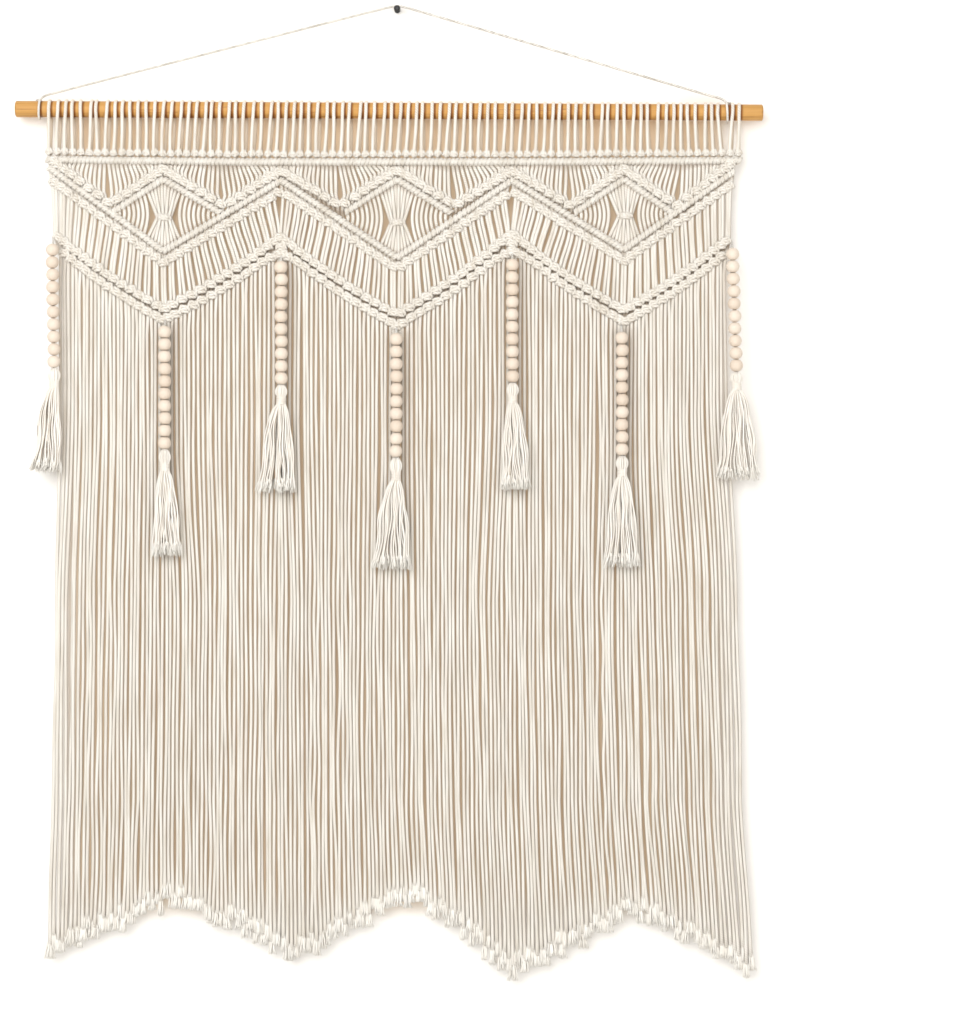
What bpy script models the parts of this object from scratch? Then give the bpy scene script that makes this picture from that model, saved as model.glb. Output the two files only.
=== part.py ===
"""A macrame wall hanging on a wooden rod, with the cord and the pin that it hangs from.

Metres, +Z up, +X to the right and +Y into the wall. The origin is the middle of the wall pin's flat back,
on the wall's face. The tables are in millimetres: `across` runs to the right of the pin, `drop` runs down
from it, and depth runs out from the wall, so a point of the net lies at (across, -depth, -drop).
"""

import math
from collections import namedtuple

import bmesh
import bpy
import numpy as np

MM = 0.001

# Driving dimensions, in millimetres
ROD_LENGTH = 915.0
ROD_DIAMETER = 20.0
ROD_ROUNDING = 1.5
ROD_ACROSS = -9.5
ROD_DROP = 126.0
ROD_TILT = math.radians(0.28)
ROD_DEPTH = 17.5
NET_DEPTH = ROD_DEPTH

CORD_DIAMETER = 4.2
PIECE_GAP = 0.4

LOOP_COUNT = 86
FIRST_KNOT = -426.0
LAST_KNOT = 417.5
ROD_CLEARANCE = 0.4
LOOP_LEAN = 3.0
LOOP_JITTER = 2.2
LEG_SPREAD = 2.5
LEG_SINK = 3.0
WRAPPED_AFTER = 83.5
WRAP_PARTING = 2.8

BAND_HEIGHT = 11.0
BAND_DEPTH = 10.6
RIDGE_HEIGHT = 12.6
RIDGE_DEPTH = 10.0
KNOT_ROW_HEIGHT = 12.0
KNOT_ROW_DEPTH = 8.0
UPPER_KNOTS_RISE = 11.0
LOWER_KNOTS_FALL = 14.0
CHEVRON_ROW_STEP = 7.5
NET_LEFT = -428.0
NET_RIGHT = 418.0
WAIST_DROP = 235.0
GATHER_DEPTH = 11.0

TOOTH_COUNT = 86
TOOTH_WIDTH = 8.2
TOOTH_SCATTER = 7.0
SPINE_HEIGHT = 7.0
PARTED_BELOW = 26.0
REJOINED_BELOW = 200.0
COMB_LEFT = -426.0
COMB_RIGHT = 433.5
STRING_PARTING = 3.4
PARTING_HALF_WIDTH = 9.9
PARTING_FADE = 45.0

BEAD_DIAMETER = 15.0
BEADS_PER_STRING = 10
BEAD_STRING_DEPTH = 29.5

HANGING_CORD_DIAMETER = 3.0
WRAP_START = 25.0
WRAP_END = 330.0
WRAP_STEPS = 12
LEFT_WRAP = -436.0
RIGHT_WRAP = 402.6
PIN_CORD_DEPTH = 9.0
PIN_SHANK_DIAMETER = 4.0
PIN_HEAD_DIAMETER = 8.0
PIN_COLLAR_DIAMETER = 7.4
PIN_LENGTH = 18.0

LinePoint = namedtuple("LinePoint", "across drop")
Station = namedtuple("Station", "across ridge chevron end_across end")
Gap = namedtuple("Gap", "outer inner top knot bottom")
Gather = namedtuple("Gather", "across drop width height")
BeadString = namedtuple("BeadString", "top_across top_drop bottom_across bottom_drop")
Tassel = namedtuple("Tassel", "across head_top neck_end left right end")

# The header band's middle line, which sags a little between its ends
HEADER = (
    LinePoint(-430.5, 185.4),
    LinePoint(-200.0, 188.4),
    LinePoint(150.0, 188.4),
    LinePoint(422.0, 186.8),
)

# The points of the long zigzag: its ridge, the lower chevron band's middle line, and the fringe's lower edge
STATIONS = (
    Station(-425.0, 196.0, 279.0, -426.0, 1163.0),
    Station(-286.0, 298.0, 375.0, -268.0, 1095.0),
    Station(-142.0, 211.0, 287.0, -127.0, 1166.0),
    Station(0.0, 306.0, 382.0, 21.0, 1092.0),
    Station(141.0, 211.0, 283.0, 142.0, 1185.0),
    Station(278.0, 296.0, 377.0, 290.0, 1111.0),
    Station(411.0, 201.0, 285.0, 434.0, 1182.0),
)

# The short zigzag ridge under the upper knots, whose odd points are the tops of the three diamonds
UPPER_RIDGE = (
    LinePoint(-425.0, 196.0),
    LinePoint(-351.0, 252.0),
    LinePoint(-286.0, 207.0),
    LinePoint(-211.0, 254.0),
    LinePoint(-142.0, 211.0),
    LinePoint(-69.0, 254.0),
    LinePoint(0.0, 208.0),
    LinePoint(71.0, 254.0),
    LinePoint(141.0, 211.0),
    LinePoint(213.0, 254.0),
    LinePoint(278.0, 207.0),
    LinePoint(342.0, 254.0),
    LinePoint(411.0, 201.0),
)

# The open gaps beside the gathered bundles: the straight outer side, and the corner at the bundle's knot
GAPS = (
    Gap(-307.4, -296.4, 230.0, 256.6, 270.0),
    Gap(-262.0, -274.3, 230.0, 256.6, 271.0),
    Gap(-27.0, -11.5, 239.0, 262.7, 277.0),
    Gap(25.7, 12.2, 239.0, 262.7, 277.0),
    Gap(253.5, 268.2, 232.0, 254.7, 270.0),
    Gap(302.5, 290.2, 232.0, 254.7, 270.0),
)

GATHERS = (
    Gather(-285.4, 256.6, 21.0, 12.0),
    Gather(0.6, 262.7, 22.0, 13.0),
    Gather(279.2, 254.7, 20.0, 12.0),
)

BEAD_STRINGS = (
    BeadString(-420.5, 297.1, -418.2, 433.7),
    BeadString(-283.2, 397.3, -283.2, 532.9),
    BeadString(-141.1, 318.4, -141.1, 454.1),
    BeadString(-0.5, 406.2, -0.9, 542.9),
    BeadString(140.8, 315.5, 141.4, 451.6),
    BeadString(274.9, 404.7, 275.2, 540.8),
    BeadString(409.8, 302.5, 414.5, 438.4),
)

TASSELS = (
    Tassel(-417.8, 442.0, 467.8, -447.0, -408.0, 568.0),
    Tassel(-283.2, 541.2, 569.4, -300.0, -262.0, 671.0),
    Tassel(-141.1, 462.4, 487.4, -170.0, -122.5, 594.0),
    Tassel(-0.9, 551.2, 584.0, -31.8, 18.4, 688.0),
    Tassel(141.4, 460.0, 487.4, 126.0, 164.0, 590.0),
    Tassel(275.2, 549.2, 577.0, 252.3, 297.6, 685.0),
    Tassel(414.7, 446.8, 470.2, 389.4, 442.1, 578.0),
)


def clear_scene():
    for thing in list(bpy.data.objects):
        bpy.data.objects.remove(thing, do_unlink=True)


def make_material(name, colour, roughness, metallic=0.0):
    material = bpy.data.materials.new(name)
    material.use_nodes = True
    shader = material.node_tree.nodes["Principled BSDF"]
    shader.inputs["Base Color"].default_value = (*colour, 1.0)
    shader.inputs["Roughness"].default_value = roughness
    shader.inputs["Metallic"].default_value = metallic
    return material


def add_mesh_object(name, points, faces, material, smooth_angle=None):
    """Put points in millimetres and faces into a named object, its faces turned outwards."""
    mesh = bpy.data.meshes.new(name)
    mesh.from_pydata([tuple(MM * value for value in point) for point in points], [], faces)
    shape = bmesh.new()
    shape.from_mesh(mesh)
    bmesh.ops.recalc_face_normals(shape, faces=shape.faces)
    shape.to_mesh(mesh)
    shape.free()
    if smooth_angle is not None:
        mesh.shade_smooth()
        mesh.set_sharp_from_angle(angle=smooth_angle)
    mesh.materials.append(material)
    thing = bpy.data.objects.new(name, mesh)
    bpy.context.scene.collection.objects.link(thing)
    return thing


def line_at(points, across):
    """The drop of a line of points at one or many places across."""
    return np.interp(across, [p.across for p in points], [p.drop for p in points])


def station_line(column):
    return [LinePoint(s.across, getattr(s, column)) for s in STATIONS]


def rod_drop(across):
    """The drop of the rod's middle line, which tilts a little down to the right."""
    return ROD_DROP + (across - ROD_ACROSS) * math.tan(ROD_TILT)


def plate(outline, front, back, holes=()):
    """Points and faces of a flat outline, with holes, extruded from one depth to another."""
    shape = bmesh.new()
    edges = []
    for loop in (outline, *holes):
        corners = [shape.verts.new((across, -front, -drop)) for across, drop in loop]
        edges += [shape.edges.new((a, b)) for a, b in zip(corners, corners[1:] + corners[:1])]
    bmesh.ops.triangle_fill(shape, edges=edges, use_beauty=True, use_dissolve=False)
    raised = bmesh.ops.extrude_face_region(shape, geom=list(shape.faces))
    moved = [item for item in raised["geom"] if isinstance(item, bmesh.types.BMVert)]
    bmesh.ops.translate(shape, verts=moved, vec=(0.0, front - back, 0.0))
    shape.verts.index_update()
    points = [tuple(v.co) for v in shape.verts]
    faces = [[v.index for v in face.verts] for face in shape.faces]
    shape.free()
    return points, faces


def strip_outline(line, height, ceiling=None, inset=0.0):
    """A zigzag strip of one height along a line of points, cut off level with a ceiling above it."""
    across = [p.across for p in line]
    across[0] += inset
    across[-1] -= inset
    upper = np.array([p.drop - height / 2 for p in line])
    lower = np.array([p.drop + height / 2 for p in line])
    if ceiling is not None:
        upper = np.maximum(upper, line_at(ceiling, across))
        lower = np.maximum(lower, upper + height / 4)
    return list(zip(across, upper.tolist())) + list(zip(across, lower.tolist()))[::-1]


def joined(shapes):
    """Several point and face lists as one list, each a body of its own."""
    points, faces = [], []
    for some_points, some_faces in shapes:
        first = len(points)
        points += some_points
        faces += [[first + corner for corner in face] for face in some_faces]
    return points, faces


def square_tube(path, width):
    """A strip of square section along a path whose bends lie in planes of constant across."""
    path = np.asarray(path)
    ahead = np.gradient(path, axis=0)
    ahead[:, 0] = 0.0
    ahead /= np.linalg.norm(ahead, axis=1)[:, None]
    side = np.array([1.0, 0.0, 0.0])
    up = np.cross(ahead, side)
    steps = np.diff(path, axis=0)
    steps[:, 0] = 0.0
    steps /= np.linalg.norm(steps, axis=1)[:, None]
    mitre = np.ones(len(path))
    mitre[1:-1] = 1.0 / np.sqrt((1.0 + (steps[:-1] * steps[1:]).sum(axis=1)) / 2.0)
    half = width / 2
    rings = []
    for sideways, upwards in ((-1, -1), (1, -1), (1, 1), (-1, 1)):
        rings.append(path + sideways * half * side + upwards * half * mitre[:, None] * up)
    points = np.stack(rings, axis=1).reshape(-1, 3)
    last = 4 * (len(path) - 1)
    faces = [[0, 1, 2, 3], [last + 3, last + 2, last + 1, last]]
    for ring in range(len(path) - 1):
        for corner in range(4):
            following = (corner + 1) % 4
            near, far = 4 * ring, 4 * ring + 4
            faces.append([near + corner, far + corner, far + following, near + following])
    return [tuple(point) for point in points], faces


def lofted(rings):
    """A closed body through rings of equally many points."""
    count = len(rings[0])
    points = [point for ring in rings for point in ring]
    faces = [list(range(count)), list(range(len(points) - 1, len(points) - count - 1, -1))]
    for ring in range(len(rings) - 1):
        for corner in range(count):
            following = (corner + 1) % count
            near, far = count * ring, count * (ring + 1)
            faces.append([near + corner, far + corner, far + following, near + following])
    return points, faces


def level_ring(across, depth, drop, half_width, half_depth, sides):
    angles = [2 * math.pi * step / sides for step in range(sides)]
    return [
        (across + half_width * math.cos(angle), -depth + half_depth * math.sin(angle), -drop)
        for angle in angles
    ]


def add_union(base, name, points, faces):
    """Join a second body to an object with a Boolean, leaving the body as a hidden guide."""
    guide = add_mesh_object(name, points, faces, base.data.materials[0])
    guide.hide_render = True
    guide.display_type = "WIRE"
    union = base.modifiers.new(name, "BOOLEAN")
    union.operation = "UNION"
    union.solver = "EXACT"
    union.object = guide


def net_plate(outline, thickness, holes=()):
    """A plate that lies evenly about the plane of the net."""
    return plate(outline, NET_DEPTH + thickness / 2, NET_DEPTH - thickness / 2, holes)


def build_rod(material):
    """A dowel along its tilted line, its rims rounded."""
    sides = 32
    radius = ROD_DIAMETER / 2
    half = ROD_LENGTH / 2
    profile = [
        (-half, radius - ROD_ROUNDING),
        (-half + ROD_ROUNDING, radius),
        (half - ROD_ROUNDING, radius),
        (half, radius - ROD_ROUNDING),
    ]
    rings = []
    for along, ring_radius in profile:
        across = ROD_ACROSS + along * math.cos(ROD_TILT)
        drop = ROD_DROP + along * math.sin(ROD_TILT)
        ring = []
        for step in range(sides):
            angle = 2 * math.pi * step / sides
            ring.append((across, -ROD_DEPTH + ring_radius * math.sin(angle), -drop + ring_radius * math.cos(angle)))
        rings.append(ring)
    points, faces = lofted(rings)
    add_mesh_object("rod", points, faces, material, math.radians(40))


def loop_places():
    """Where each loop crosses the rod, and where its knot sits on the band, in millimetres across."""
    rng = np.random.default_rng(7)
    order = np.arange(LOOP_COUNT)
    knots = np.linspace(FIRST_KNOT, LAST_KNOT, LOOP_COUNT)
    along = order / (LOOP_COUNT - 1)
    lean = LOOP_LEAN * np.cos(1.2 * math.pi * (along - 0.4))
    tops = knots + lean + rng.uniform(-LOOP_JITTER, LOOP_JITTER, LOOP_COUNT)
    from_wrap = order - WRAPPED_AFTER
    aside = np.sign(from_wrap) * np.exp(-(np.abs(from_wrap) - 0.5) / 2.5)
    return tops + WRAP_PARTING * aside, knots


def build_heading(material):
    """The header band, and a comb of square-section loops that stand on it and go round the rod."""
    tops, knots = loop_places()
    corner_angles = [math.radians(angle) for angle in (90, 30, -30, -90)]
    reach = (ROD_DIAMETER / 2 + ROD_CLEARANCE + CORD_DIAMETER / 2) / math.cos(math.radians(30))
    loops = []
    for top, knot in zip(tops, knots):
        foot = float(line_at(HEADER, knot)) - BAND_HEIGHT / 2 + LEG_SINK
        path = [(knot, -NET_DEPTH - LEG_SPREAD, -foot)]
        for angle in corner_angles:
            path.append((top, -ROD_DEPTH - reach * math.sin(angle), -rod_drop(top) + reach * math.cos(angle)))
        path.append((knot, -NET_DEPTH + LEG_SPREAD, -foot))
        loops.append(square_tube(path, CORD_DIAMETER))
    outline = strip_outline(HEADER, BAND_HEIGHT)
    band = add_mesh_object("heading", *net_plate(outline, BAND_DEPTH), material)
    add_union(band, "heading_loops", *joined(loops))


def build_knotted_panel(material):
    """The net's sheet with its gaps, and the ridges and rows of knots that stand out of it."""
    below_band = BAND_HEIGHT / 2 + PIECE_GAP
    ceiling = [LinePoint(p.across, p.drop + below_band) for p in HEADER]
    chevron = station_line("chevron")
    top = [(NET_LEFT, float(line_at(ceiling, NET_LEFT)))]
    top += [(p.across, p.drop) for p in ceiling[1:-1]]
    top += [(NET_RIGHT, float(line_at(ceiling, NET_RIGHT)))]
    bottom = [(p.across, p.drop + CHEVRON_ROW_STEP) for p in chevron[::-1]]
    outline = top + [(chevron[-1].across, WAIST_DROP)] + bottom + [(chevron[0].across, WAIST_DROP)]
    holes = [[(g.outer, g.top), (g.inner, g.knot), (g.outer, g.bottom)] for g in GAPS]
    panel = add_mesh_object("knotted_panel", *net_plate(outline, CORD_DIAMETER, holes), material)

    lower_ceiling = [LinePoint(p.across, p.drop + 0.4) for p in ceiling]
    upper_knots = [LinePoint(p.across, p.drop - UPPER_KNOTS_RISE) for p in UPPER_RIDGE]
    ridge = station_line("ridge")
    lower_knots = [LinePoint(p.across, p.drop + LOWER_KNOTS_FALL) for p in ridge]
    chevron_upper = [LinePoint(p.across, p.drop - CHEVRON_ROW_STEP) for p in chevron]
    chevron_lower = [LinePoint(p.across, p.drop + CHEVRON_ROW_STEP) for p in chevron]
    rows = (
        ("upper_ridge", UPPER_RIDGE, RIDGE_HEIGHT, RIDGE_DEPTH),
        ("long_ridge", ridge, RIDGE_HEIGHT + 0.4, RIDGE_DEPTH + 0.2),
        ("upper_knots", upper_knots, KNOT_ROW_HEIGHT, KNOT_ROW_DEPTH),
        ("lower_knots", lower_knots, KNOT_ROW_HEIGHT + 0.4, KNOT_ROW_DEPTH + 0.2),
        ("chevron_upper_row", chevron_upper, KNOT_ROW_HEIGHT, KNOT_ROW_DEPTH - 0.2),
        ("chevron_lower_row", chevron_lower, KNOT_ROW_HEIGHT, KNOT_ROW_DEPTH - 0.2),
    )
    for order, (name, line, height, depth) in enumerate(rows, start=1):
        outline = strip_outline(line, height, lower_ceiling, 0.3 * order)
        add_union(panel, name, *net_plate(outline, depth))
    lumps = []
    for g in GATHERS:
        rings = [
            level_ring(g.across, NET_DEPTH, g.drop + g.height * share,
                       g.width / 2 * size, GATHER_DEPTH / 2 * size, 10)
            for share, size in ((-0.5, 0.8), (-0.3, 1.0), (0.3, 1.0), (0.5, 0.8))
        ]
        lumps.append(lofted(rings))
    add_union(panel, "gathers", *joined(lumps))


def parted(across):
    """A place across, moved aside from the bead strings as far as the beads push the cords."""
    moved = across
    for string in BEAD_STRINGS:
        away = across - (string.top_across + string.bottom_across) / 2
        near = min(abs(away) / PARTING_HALF_WIDTH, 1.0)
        fading = max(0.0, 1.0 - max(abs(away) - PARTING_HALF_WIDTH, 0.0) / PARTING_FADE)
        moved += math.copysign(STRING_PARTING * near * fading, away)
    return moved


def build_fringe(material):
    """The free cords, two to a tooth, as a comb of uneven length that hangs from a spine under the net."""
    rng = np.random.default_rng(11)
    below_net = CHEVRON_ROW_STEP + KNOT_ROW_HEIGHT / 2 + PIECE_GAP
    spine_top = [LinePoint(p.across, p.drop + below_net) for p in station_line("chevron")]
    ends = [LinePoint(s.end_across, s.end) for s in STATIONS]
    half = TOOTH_WIDTH / 2
    tops = np.linspace(spine_top[0].across + half, spine_top[-1].across - half, TOOTH_COUNT)
    feet = np.linspace(COMB_LEFT + half, COMB_RIGHT - half, TOOTH_COUNT)
    outline = [(p.across, p.drop) for p in spine_top[::-1]]
    for top, foot in zip(tops.tolist(), feet.tolist()):
        root = float(line_at(spine_top, top)) + SPINE_HEIGHT
        scatter = rng.uniform(-TOOTH_SCATTER, TOOTH_SCATTER)
        beside = parted(top)
        rejoined = beside + (foot - top) * REJOINED_BELOW / (line_at(ends, foot) - root)
        sections = (
            (top, root, root),
            (beside, root + PARTED_BELOW, root + PARTED_BELOW),
            (rejoined, root + REJOINED_BELOW, root + REJOINED_BELOW),
            (foot, float(line_at(ends, foot - half)) + scatter, float(line_at(ends, foot + half)) + scatter),
        )
        outline += [(across - half, left_drop) for across, left_drop, _ in sections]
        outline += [(across + half, right_drop) for across, _, right_drop in sections[::-1]]
    add_mesh_object("fringe", *net_plate(outline, CORD_DIAMETER), material)


def build_bead_strings(material):
    """Ten beads on a string as one turned body, narrow where two beads meet."""
    radius = BEAD_DIAMETER / 2
    neck = 0.34
    bead_profile = ((-0.5, neck), (-0.22, 0.9), (0.0, 1.0), (0.22, 0.9))
    for number, string in enumerate(BEAD_STRINGS, start=1):
        steps = BEADS_PER_STRING - 1
        lean = (string.bottom_across - string.top_across) / steps
        pitch = (string.bottom_drop - string.top_drop) / steps
        rings = []
        for bead in range(BEADS_PER_STRING):
            for share, size in bead_profile:
                across = string.top_across + lean * (bead + share)
                drop = string.top_drop + pitch * (bead + share)
                rings.append(level_ring(across, BEAD_STRING_DEPTH, drop, radius * size, radius * size, 8))
        across = string.bottom_across + lean / 2
        drop = string.bottom_drop + pitch / 2
        rings.append(level_ring(across, BEAD_STRING_DEPTH, drop, radius * neck, radius * neck, 8))
        add_mesh_object(f"bead_string_{number}", *lofted(rings), material, math.radians(50))


def build_tassels(material):
    """A head, a wound neck and a skirt that flares to the width and side that it swings to."""
    Ring = namedtuple("Ring", "part share half_width half_depth")
    profile = (
        Ring("head", 0.0, 3.0, 3.0),
        Ring("head", 0.18, 6.2, 5.6),
        Ring("head", 0.45, 7.0, 6.2),
        Ring("head", 0.75, 5.6, 5.2),
        Ring("head", 1.0, 5.8, 5.4),
        Ring("skirt", 0.25, 0.62, 7.6),
        Ring("skirt", 0.7, 0.85, 8.6),
        Ring("skirt", 1.0, 1.0, 8.8),
    )
    for number, tassel in enumerate(TASSELS, start=1):
        middle = (tassel.left + tassel.right) / 2
        spread = (tassel.right - tassel.left) / 2
        rings = []
        for ring in profile:
            if ring.part == "head":
                drop = tassel.head_top + ring.share * (tassel.neck_end - tassel.head_top)
                across, half_width = tassel.across, ring.half_width
            else:
                drop = tassel.neck_end + ring.share * (tassel.end - tassel.neck_end)
                across = tassel.across + ring.share * (middle - tassel.across)
                half_width = ring.half_width * spread
            rings.append(level_ring(across, BEAD_STRING_DEPTH, drop, half_width, ring.half_depth, 10))
        add_mesh_object(f"tassel_{number}", *lofted(rings), material, math.radians(50))


def wrap_points(across, side):
    """The cord's turn round the rod: over the top, down the front, under and up the back."""
    points = []
    radius = (ROD_DIAMETER + HANGING_CORD_DIAMETER) / 2 + ROD_CLEARANCE + 0.3
    turn_pitch = HANGING_CORD_DIAMETER + 0.8
    for step in range(WRAP_STEPS + 1):
        angle = math.radians(WRAP_START + (WRAP_END - WRAP_START) * step / WRAP_STEPS)
        place = across + side * turn_pitch * angle / (2 * math.pi)
        depth = ROD_DEPTH + radius * math.sin(angle)
        points.append((place, depth, rod_drop(place) - radius * math.cos(angle)))
    return points


def cord_route():
    """The hanging cord's points, from its end behind the rod at the left to its end at the right.

    Each row is (across, depth, drop). The long stretches to the pin are straight, the bends over the
    loops and the pin are rounded by the curve through the points.
    """
    over_pin = -(PIN_SHANK_DIAMETER + HANGING_CORD_DIAMETER) / 2 - PIECE_GAP
    left_rod, right_rod = rod_drop(LEFT_WRAP), rod_drop(RIGHT_WRAP)
    left = wrap_points(LEFT_WRAP, -1)[::-1]
    left += [
        (LEFT_WRAP + 2.2, ROD_DEPTH + 2.2, left_rod - 14.2),
        (LEFT_WRAP + 7.0, ROD_DEPTH, left_rod - 17.2),
        (LEFT_WRAP + 18.0, ROD_DEPTH - 0.3, left_rod - 20.2),
    ]
    pin = [
        (-30.0, PIN_CORD_DEPTH + 0.6, over_pin + 6.6),
        (-8.0, PIN_CORD_DEPTH + 0.2, over_pin + 1.2),
        (0.0, PIN_CORD_DEPTH, over_pin),
        (8.0, PIN_CORD_DEPTH + 0.2, over_pin + 1.2),
        (30.0, PIN_CORD_DEPTH + 0.6, over_pin + 7.4),
    ]
    right = [
        (RIGHT_WRAP - 18.0, ROD_DEPTH - 0.3, right_rod - 20.4),
        (RIGHT_WRAP - 6.5, ROD_DEPTH, right_rod - 17.2),
        (RIGHT_WRAP - 2.0, ROD_DEPTH + 2.2, right_rod - 14.2),
    ]
    right += wrap_points(RIGHT_WRAP, 1)
    return left + pin + right


def smooth_path(points, spacing, straight_over=40.0):
    """A Catmull-Rom curve through the points, with sparser points of its own on the long stretches."""
    points = np.asarray(points)
    ends = (2 * points[0] - points[1], 2 * points[-1] - points[-2])
    padded = np.vstack([ends[0], points, ends[1]])
    path = [points[0]]
    for before, start, stop, after in zip(padded, padded[1:], padded[2:], padded[3:]):
        length = np.linalg.norm(stop - start)
        pieces = max(1, round(length / (spacing if length < straight_over else 6 * spacing)))
        knot = np.cumsum([0.0] + [
            math.sqrt(np.linalg.norm(b - a)) for a, b in ((before, start), (start, stop), (stop, after))
        ])
        for step in range(1, pieces + 1):
            t = knot[1] + (knot[2] - knot[1]) * step / pieces
            a1 = (before * (knot[1] - t) + start * (t - knot[0])) / (knot[1] - knot[0])
            a2 = (start * (knot[2] - t) + stop * (t - knot[1])) / (knot[2] - knot[1])
            a3 = (stop * (knot[3] - t) + after * (t - knot[2])) / (knot[3] - knot[2])
            b1 = (a1 * (knot[2] - t) + a2 * (t - knot[0])) / (knot[2] - knot[0])
            b2 = (a2 * (knot[3] - t) + a3 * (t - knot[1])) / (knot[3] - knot[1])
            path.append((b1 * (knot[2] - t) + b2 * (t - knot[1])) / (knot[2] - knot[1]))
    return np.array(path)


def build_hanging_cord(material):
    """The cord as one round tube along its whole route."""
    path = smooth_path(cord_route(), 2 * HANGING_CORD_DIAMETER)
    curve = bpy.data.curves.new("hanging_cord", "CURVE")
    curve.dimensions = "3D"
    curve.bevel_depth = HANGING_CORD_DIAMETER / 2 * MM
    curve.bevel_resolution = 2
    curve.use_fill_caps = True
    spline = curve.splines.new("POLY")
    spline.points.add(len(path) - 1)
    for point, (across, depth, drop) in zip(spline.points, path):
        point.co = (across * MM, -depth * MM, -drop * MM, 1.0)
    curve.materials.append(material)
    cord = bpy.data.objects.new("hanging_cord", curve)
    bpy.context.scene.collection.objects.link(cord)


def build_wall_pin(material):
    """A turned pin: a collar flat on the wall, a shank, and a head with a domed face."""
    shank = PIN_SHANK_DIAMETER / 2
    head = PIN_HEAD_DIAMETER / 2
    collar = PIN_COLLAR_DIAMETER / 2
    profile = (
        (0.0, collar),
        (2.0, collar),
        (3.2, shank),
        (13.0, shank),
        (13.6, head - 0.4),
        (15.4, head),
        (16.8, head * 0.86),
        (PIN_LENGTH, head * 0.5),
    )
    sides = 24
    rings = []
    for depth, radius in profile:
        angles = [2 * math.pi * step / sides for step in range(sides)]
        rings.append([(radius * math.cos(angle), -depth, radius * math.sin(angle)) for angle in angles])
    add_mesh_object("wall_pin", *lofted(rings), material, math.radians(40))


def build():
    clear_scene()
    cotton = make_material("cotton_cord", (0.86, 0.81, 0.72), 0.9)
    rod_wood = make_material("rod_wood", (0.72, 0.44, 0.2), 0.5)
    bead_wood = make_material("bead_wood", (0.85, 0.68, 0.5), 0.6)
    black_metal = make_material("black_metal", (0.02, 0.02, 0.02), 0.35, 0.6)
    build_rod(rod_wood)
    build_heading(cotton)
    build_knotted_panel(cotton)
    build_fringe(cotton)
    build_bead_strings(bead_wood)
    build_tassels(cotton)
    build_hanging_cord(cotton)
    build_wall_pin(black_metal)


build()
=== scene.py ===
import math
from collections import namedtuple

import bpy
import numpy as np
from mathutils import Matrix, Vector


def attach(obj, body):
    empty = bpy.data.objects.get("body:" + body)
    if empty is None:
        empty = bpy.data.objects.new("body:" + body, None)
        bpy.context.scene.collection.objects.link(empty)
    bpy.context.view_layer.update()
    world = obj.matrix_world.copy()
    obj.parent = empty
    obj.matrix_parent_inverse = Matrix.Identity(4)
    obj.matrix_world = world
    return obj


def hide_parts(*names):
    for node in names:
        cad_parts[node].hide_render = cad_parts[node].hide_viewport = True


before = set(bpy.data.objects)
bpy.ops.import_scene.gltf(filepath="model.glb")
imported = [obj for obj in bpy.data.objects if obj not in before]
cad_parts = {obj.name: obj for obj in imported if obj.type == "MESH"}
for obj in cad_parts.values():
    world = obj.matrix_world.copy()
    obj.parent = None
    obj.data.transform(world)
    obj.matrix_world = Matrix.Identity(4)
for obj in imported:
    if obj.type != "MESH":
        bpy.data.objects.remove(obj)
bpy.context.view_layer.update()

# The view. The hanging is looked at square on, so that the plane of its net fills the picture at one
# scale. Sizes are in millimetres, as across (to the right of the pin), depth (out from the wall) and drop.

MM = 0.001
IMAGE_WIDTH = 970
IMAGE_HEIGHT = 1024
MM_PER_PIXEL = 1.2246
PIN_COLUMN = 397
PIN_ROW = 8
NET_DEPTH = 17.5
VIEW_DISTANCE = 3600.0
SENSOR = 36.0


def at(across, depth, drop):
    """Places in metres in the object's frame, as an array whose last axis is x, y, z."""
    across, depth, drop = np.broadcast_arrays(across, depth, drop)
    return np.stack([across, -depth, -drop], axis=-1) * MM


def turned_to(thing, target):
    """Turn a camera or lamp, which look along their own -Z, to face a place."""
    thing.rotation_mode = "QUATERNION"
    ahead = target - np.array(thing.location)
    thing.rotation_quaternion = Vector(ahead).to_track_quat("-Z", "Y")


middle_across = (IMAGE_WIDTH / 2 - PIN_COLUMN) * MM_PER_PIXEL
middle_drop = (IMAGE_HEIGHT / 2 - PIN_ROW) * MM_PER_PIXEL
camera_data = bpy.data.cameras.new("camera")
camera_data.sensor_width = SENSOR
camera_data.lens = SENSOR * VIEW_DISTANCE / (IMAGE_HEIGHT * MM_PER_PIXEL)
camera = bpy.data.objects.new("camera", camera_data)
bpy.context.scene.collection.objects.link(camera)
camera.location = at(middle_across, NET_DEPTH + VIEW_DISTANCE, middle_drop).tolist()
turned_to(camera, at(middle_across, NET_DEPTH, middle_drop))
bpy.context.scene.camera = camera

# The room: a pale wall close behind, which is clear from behind and carries painted warm bounce light and a
# faint painted glow behind the hanging, and a pale floor. A wide soft lamp from the upper left, a weaker
# one from the right, and one that only lights the back of the hanging.

ROOM_LIGHT = (1.0, 0.97, 0.93, 1.0)
ROOM_BRIGHTNESS = 0.42
LIT_DROP = 600.0

bpy.context.scene.view_settings.view_transform = "Standard"
world = bpy.data.worlds.new("pale_room")
world.use_nodes = True
world.node_tree.nodes["Background"].inputs["Color"].default_value = ROOM_LIGHT
world.node_tree.nodes["Background"].inputs["Strength"].default_value = ROOM_BRIGHTNESS
bpy.context.scene.world = world

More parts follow.
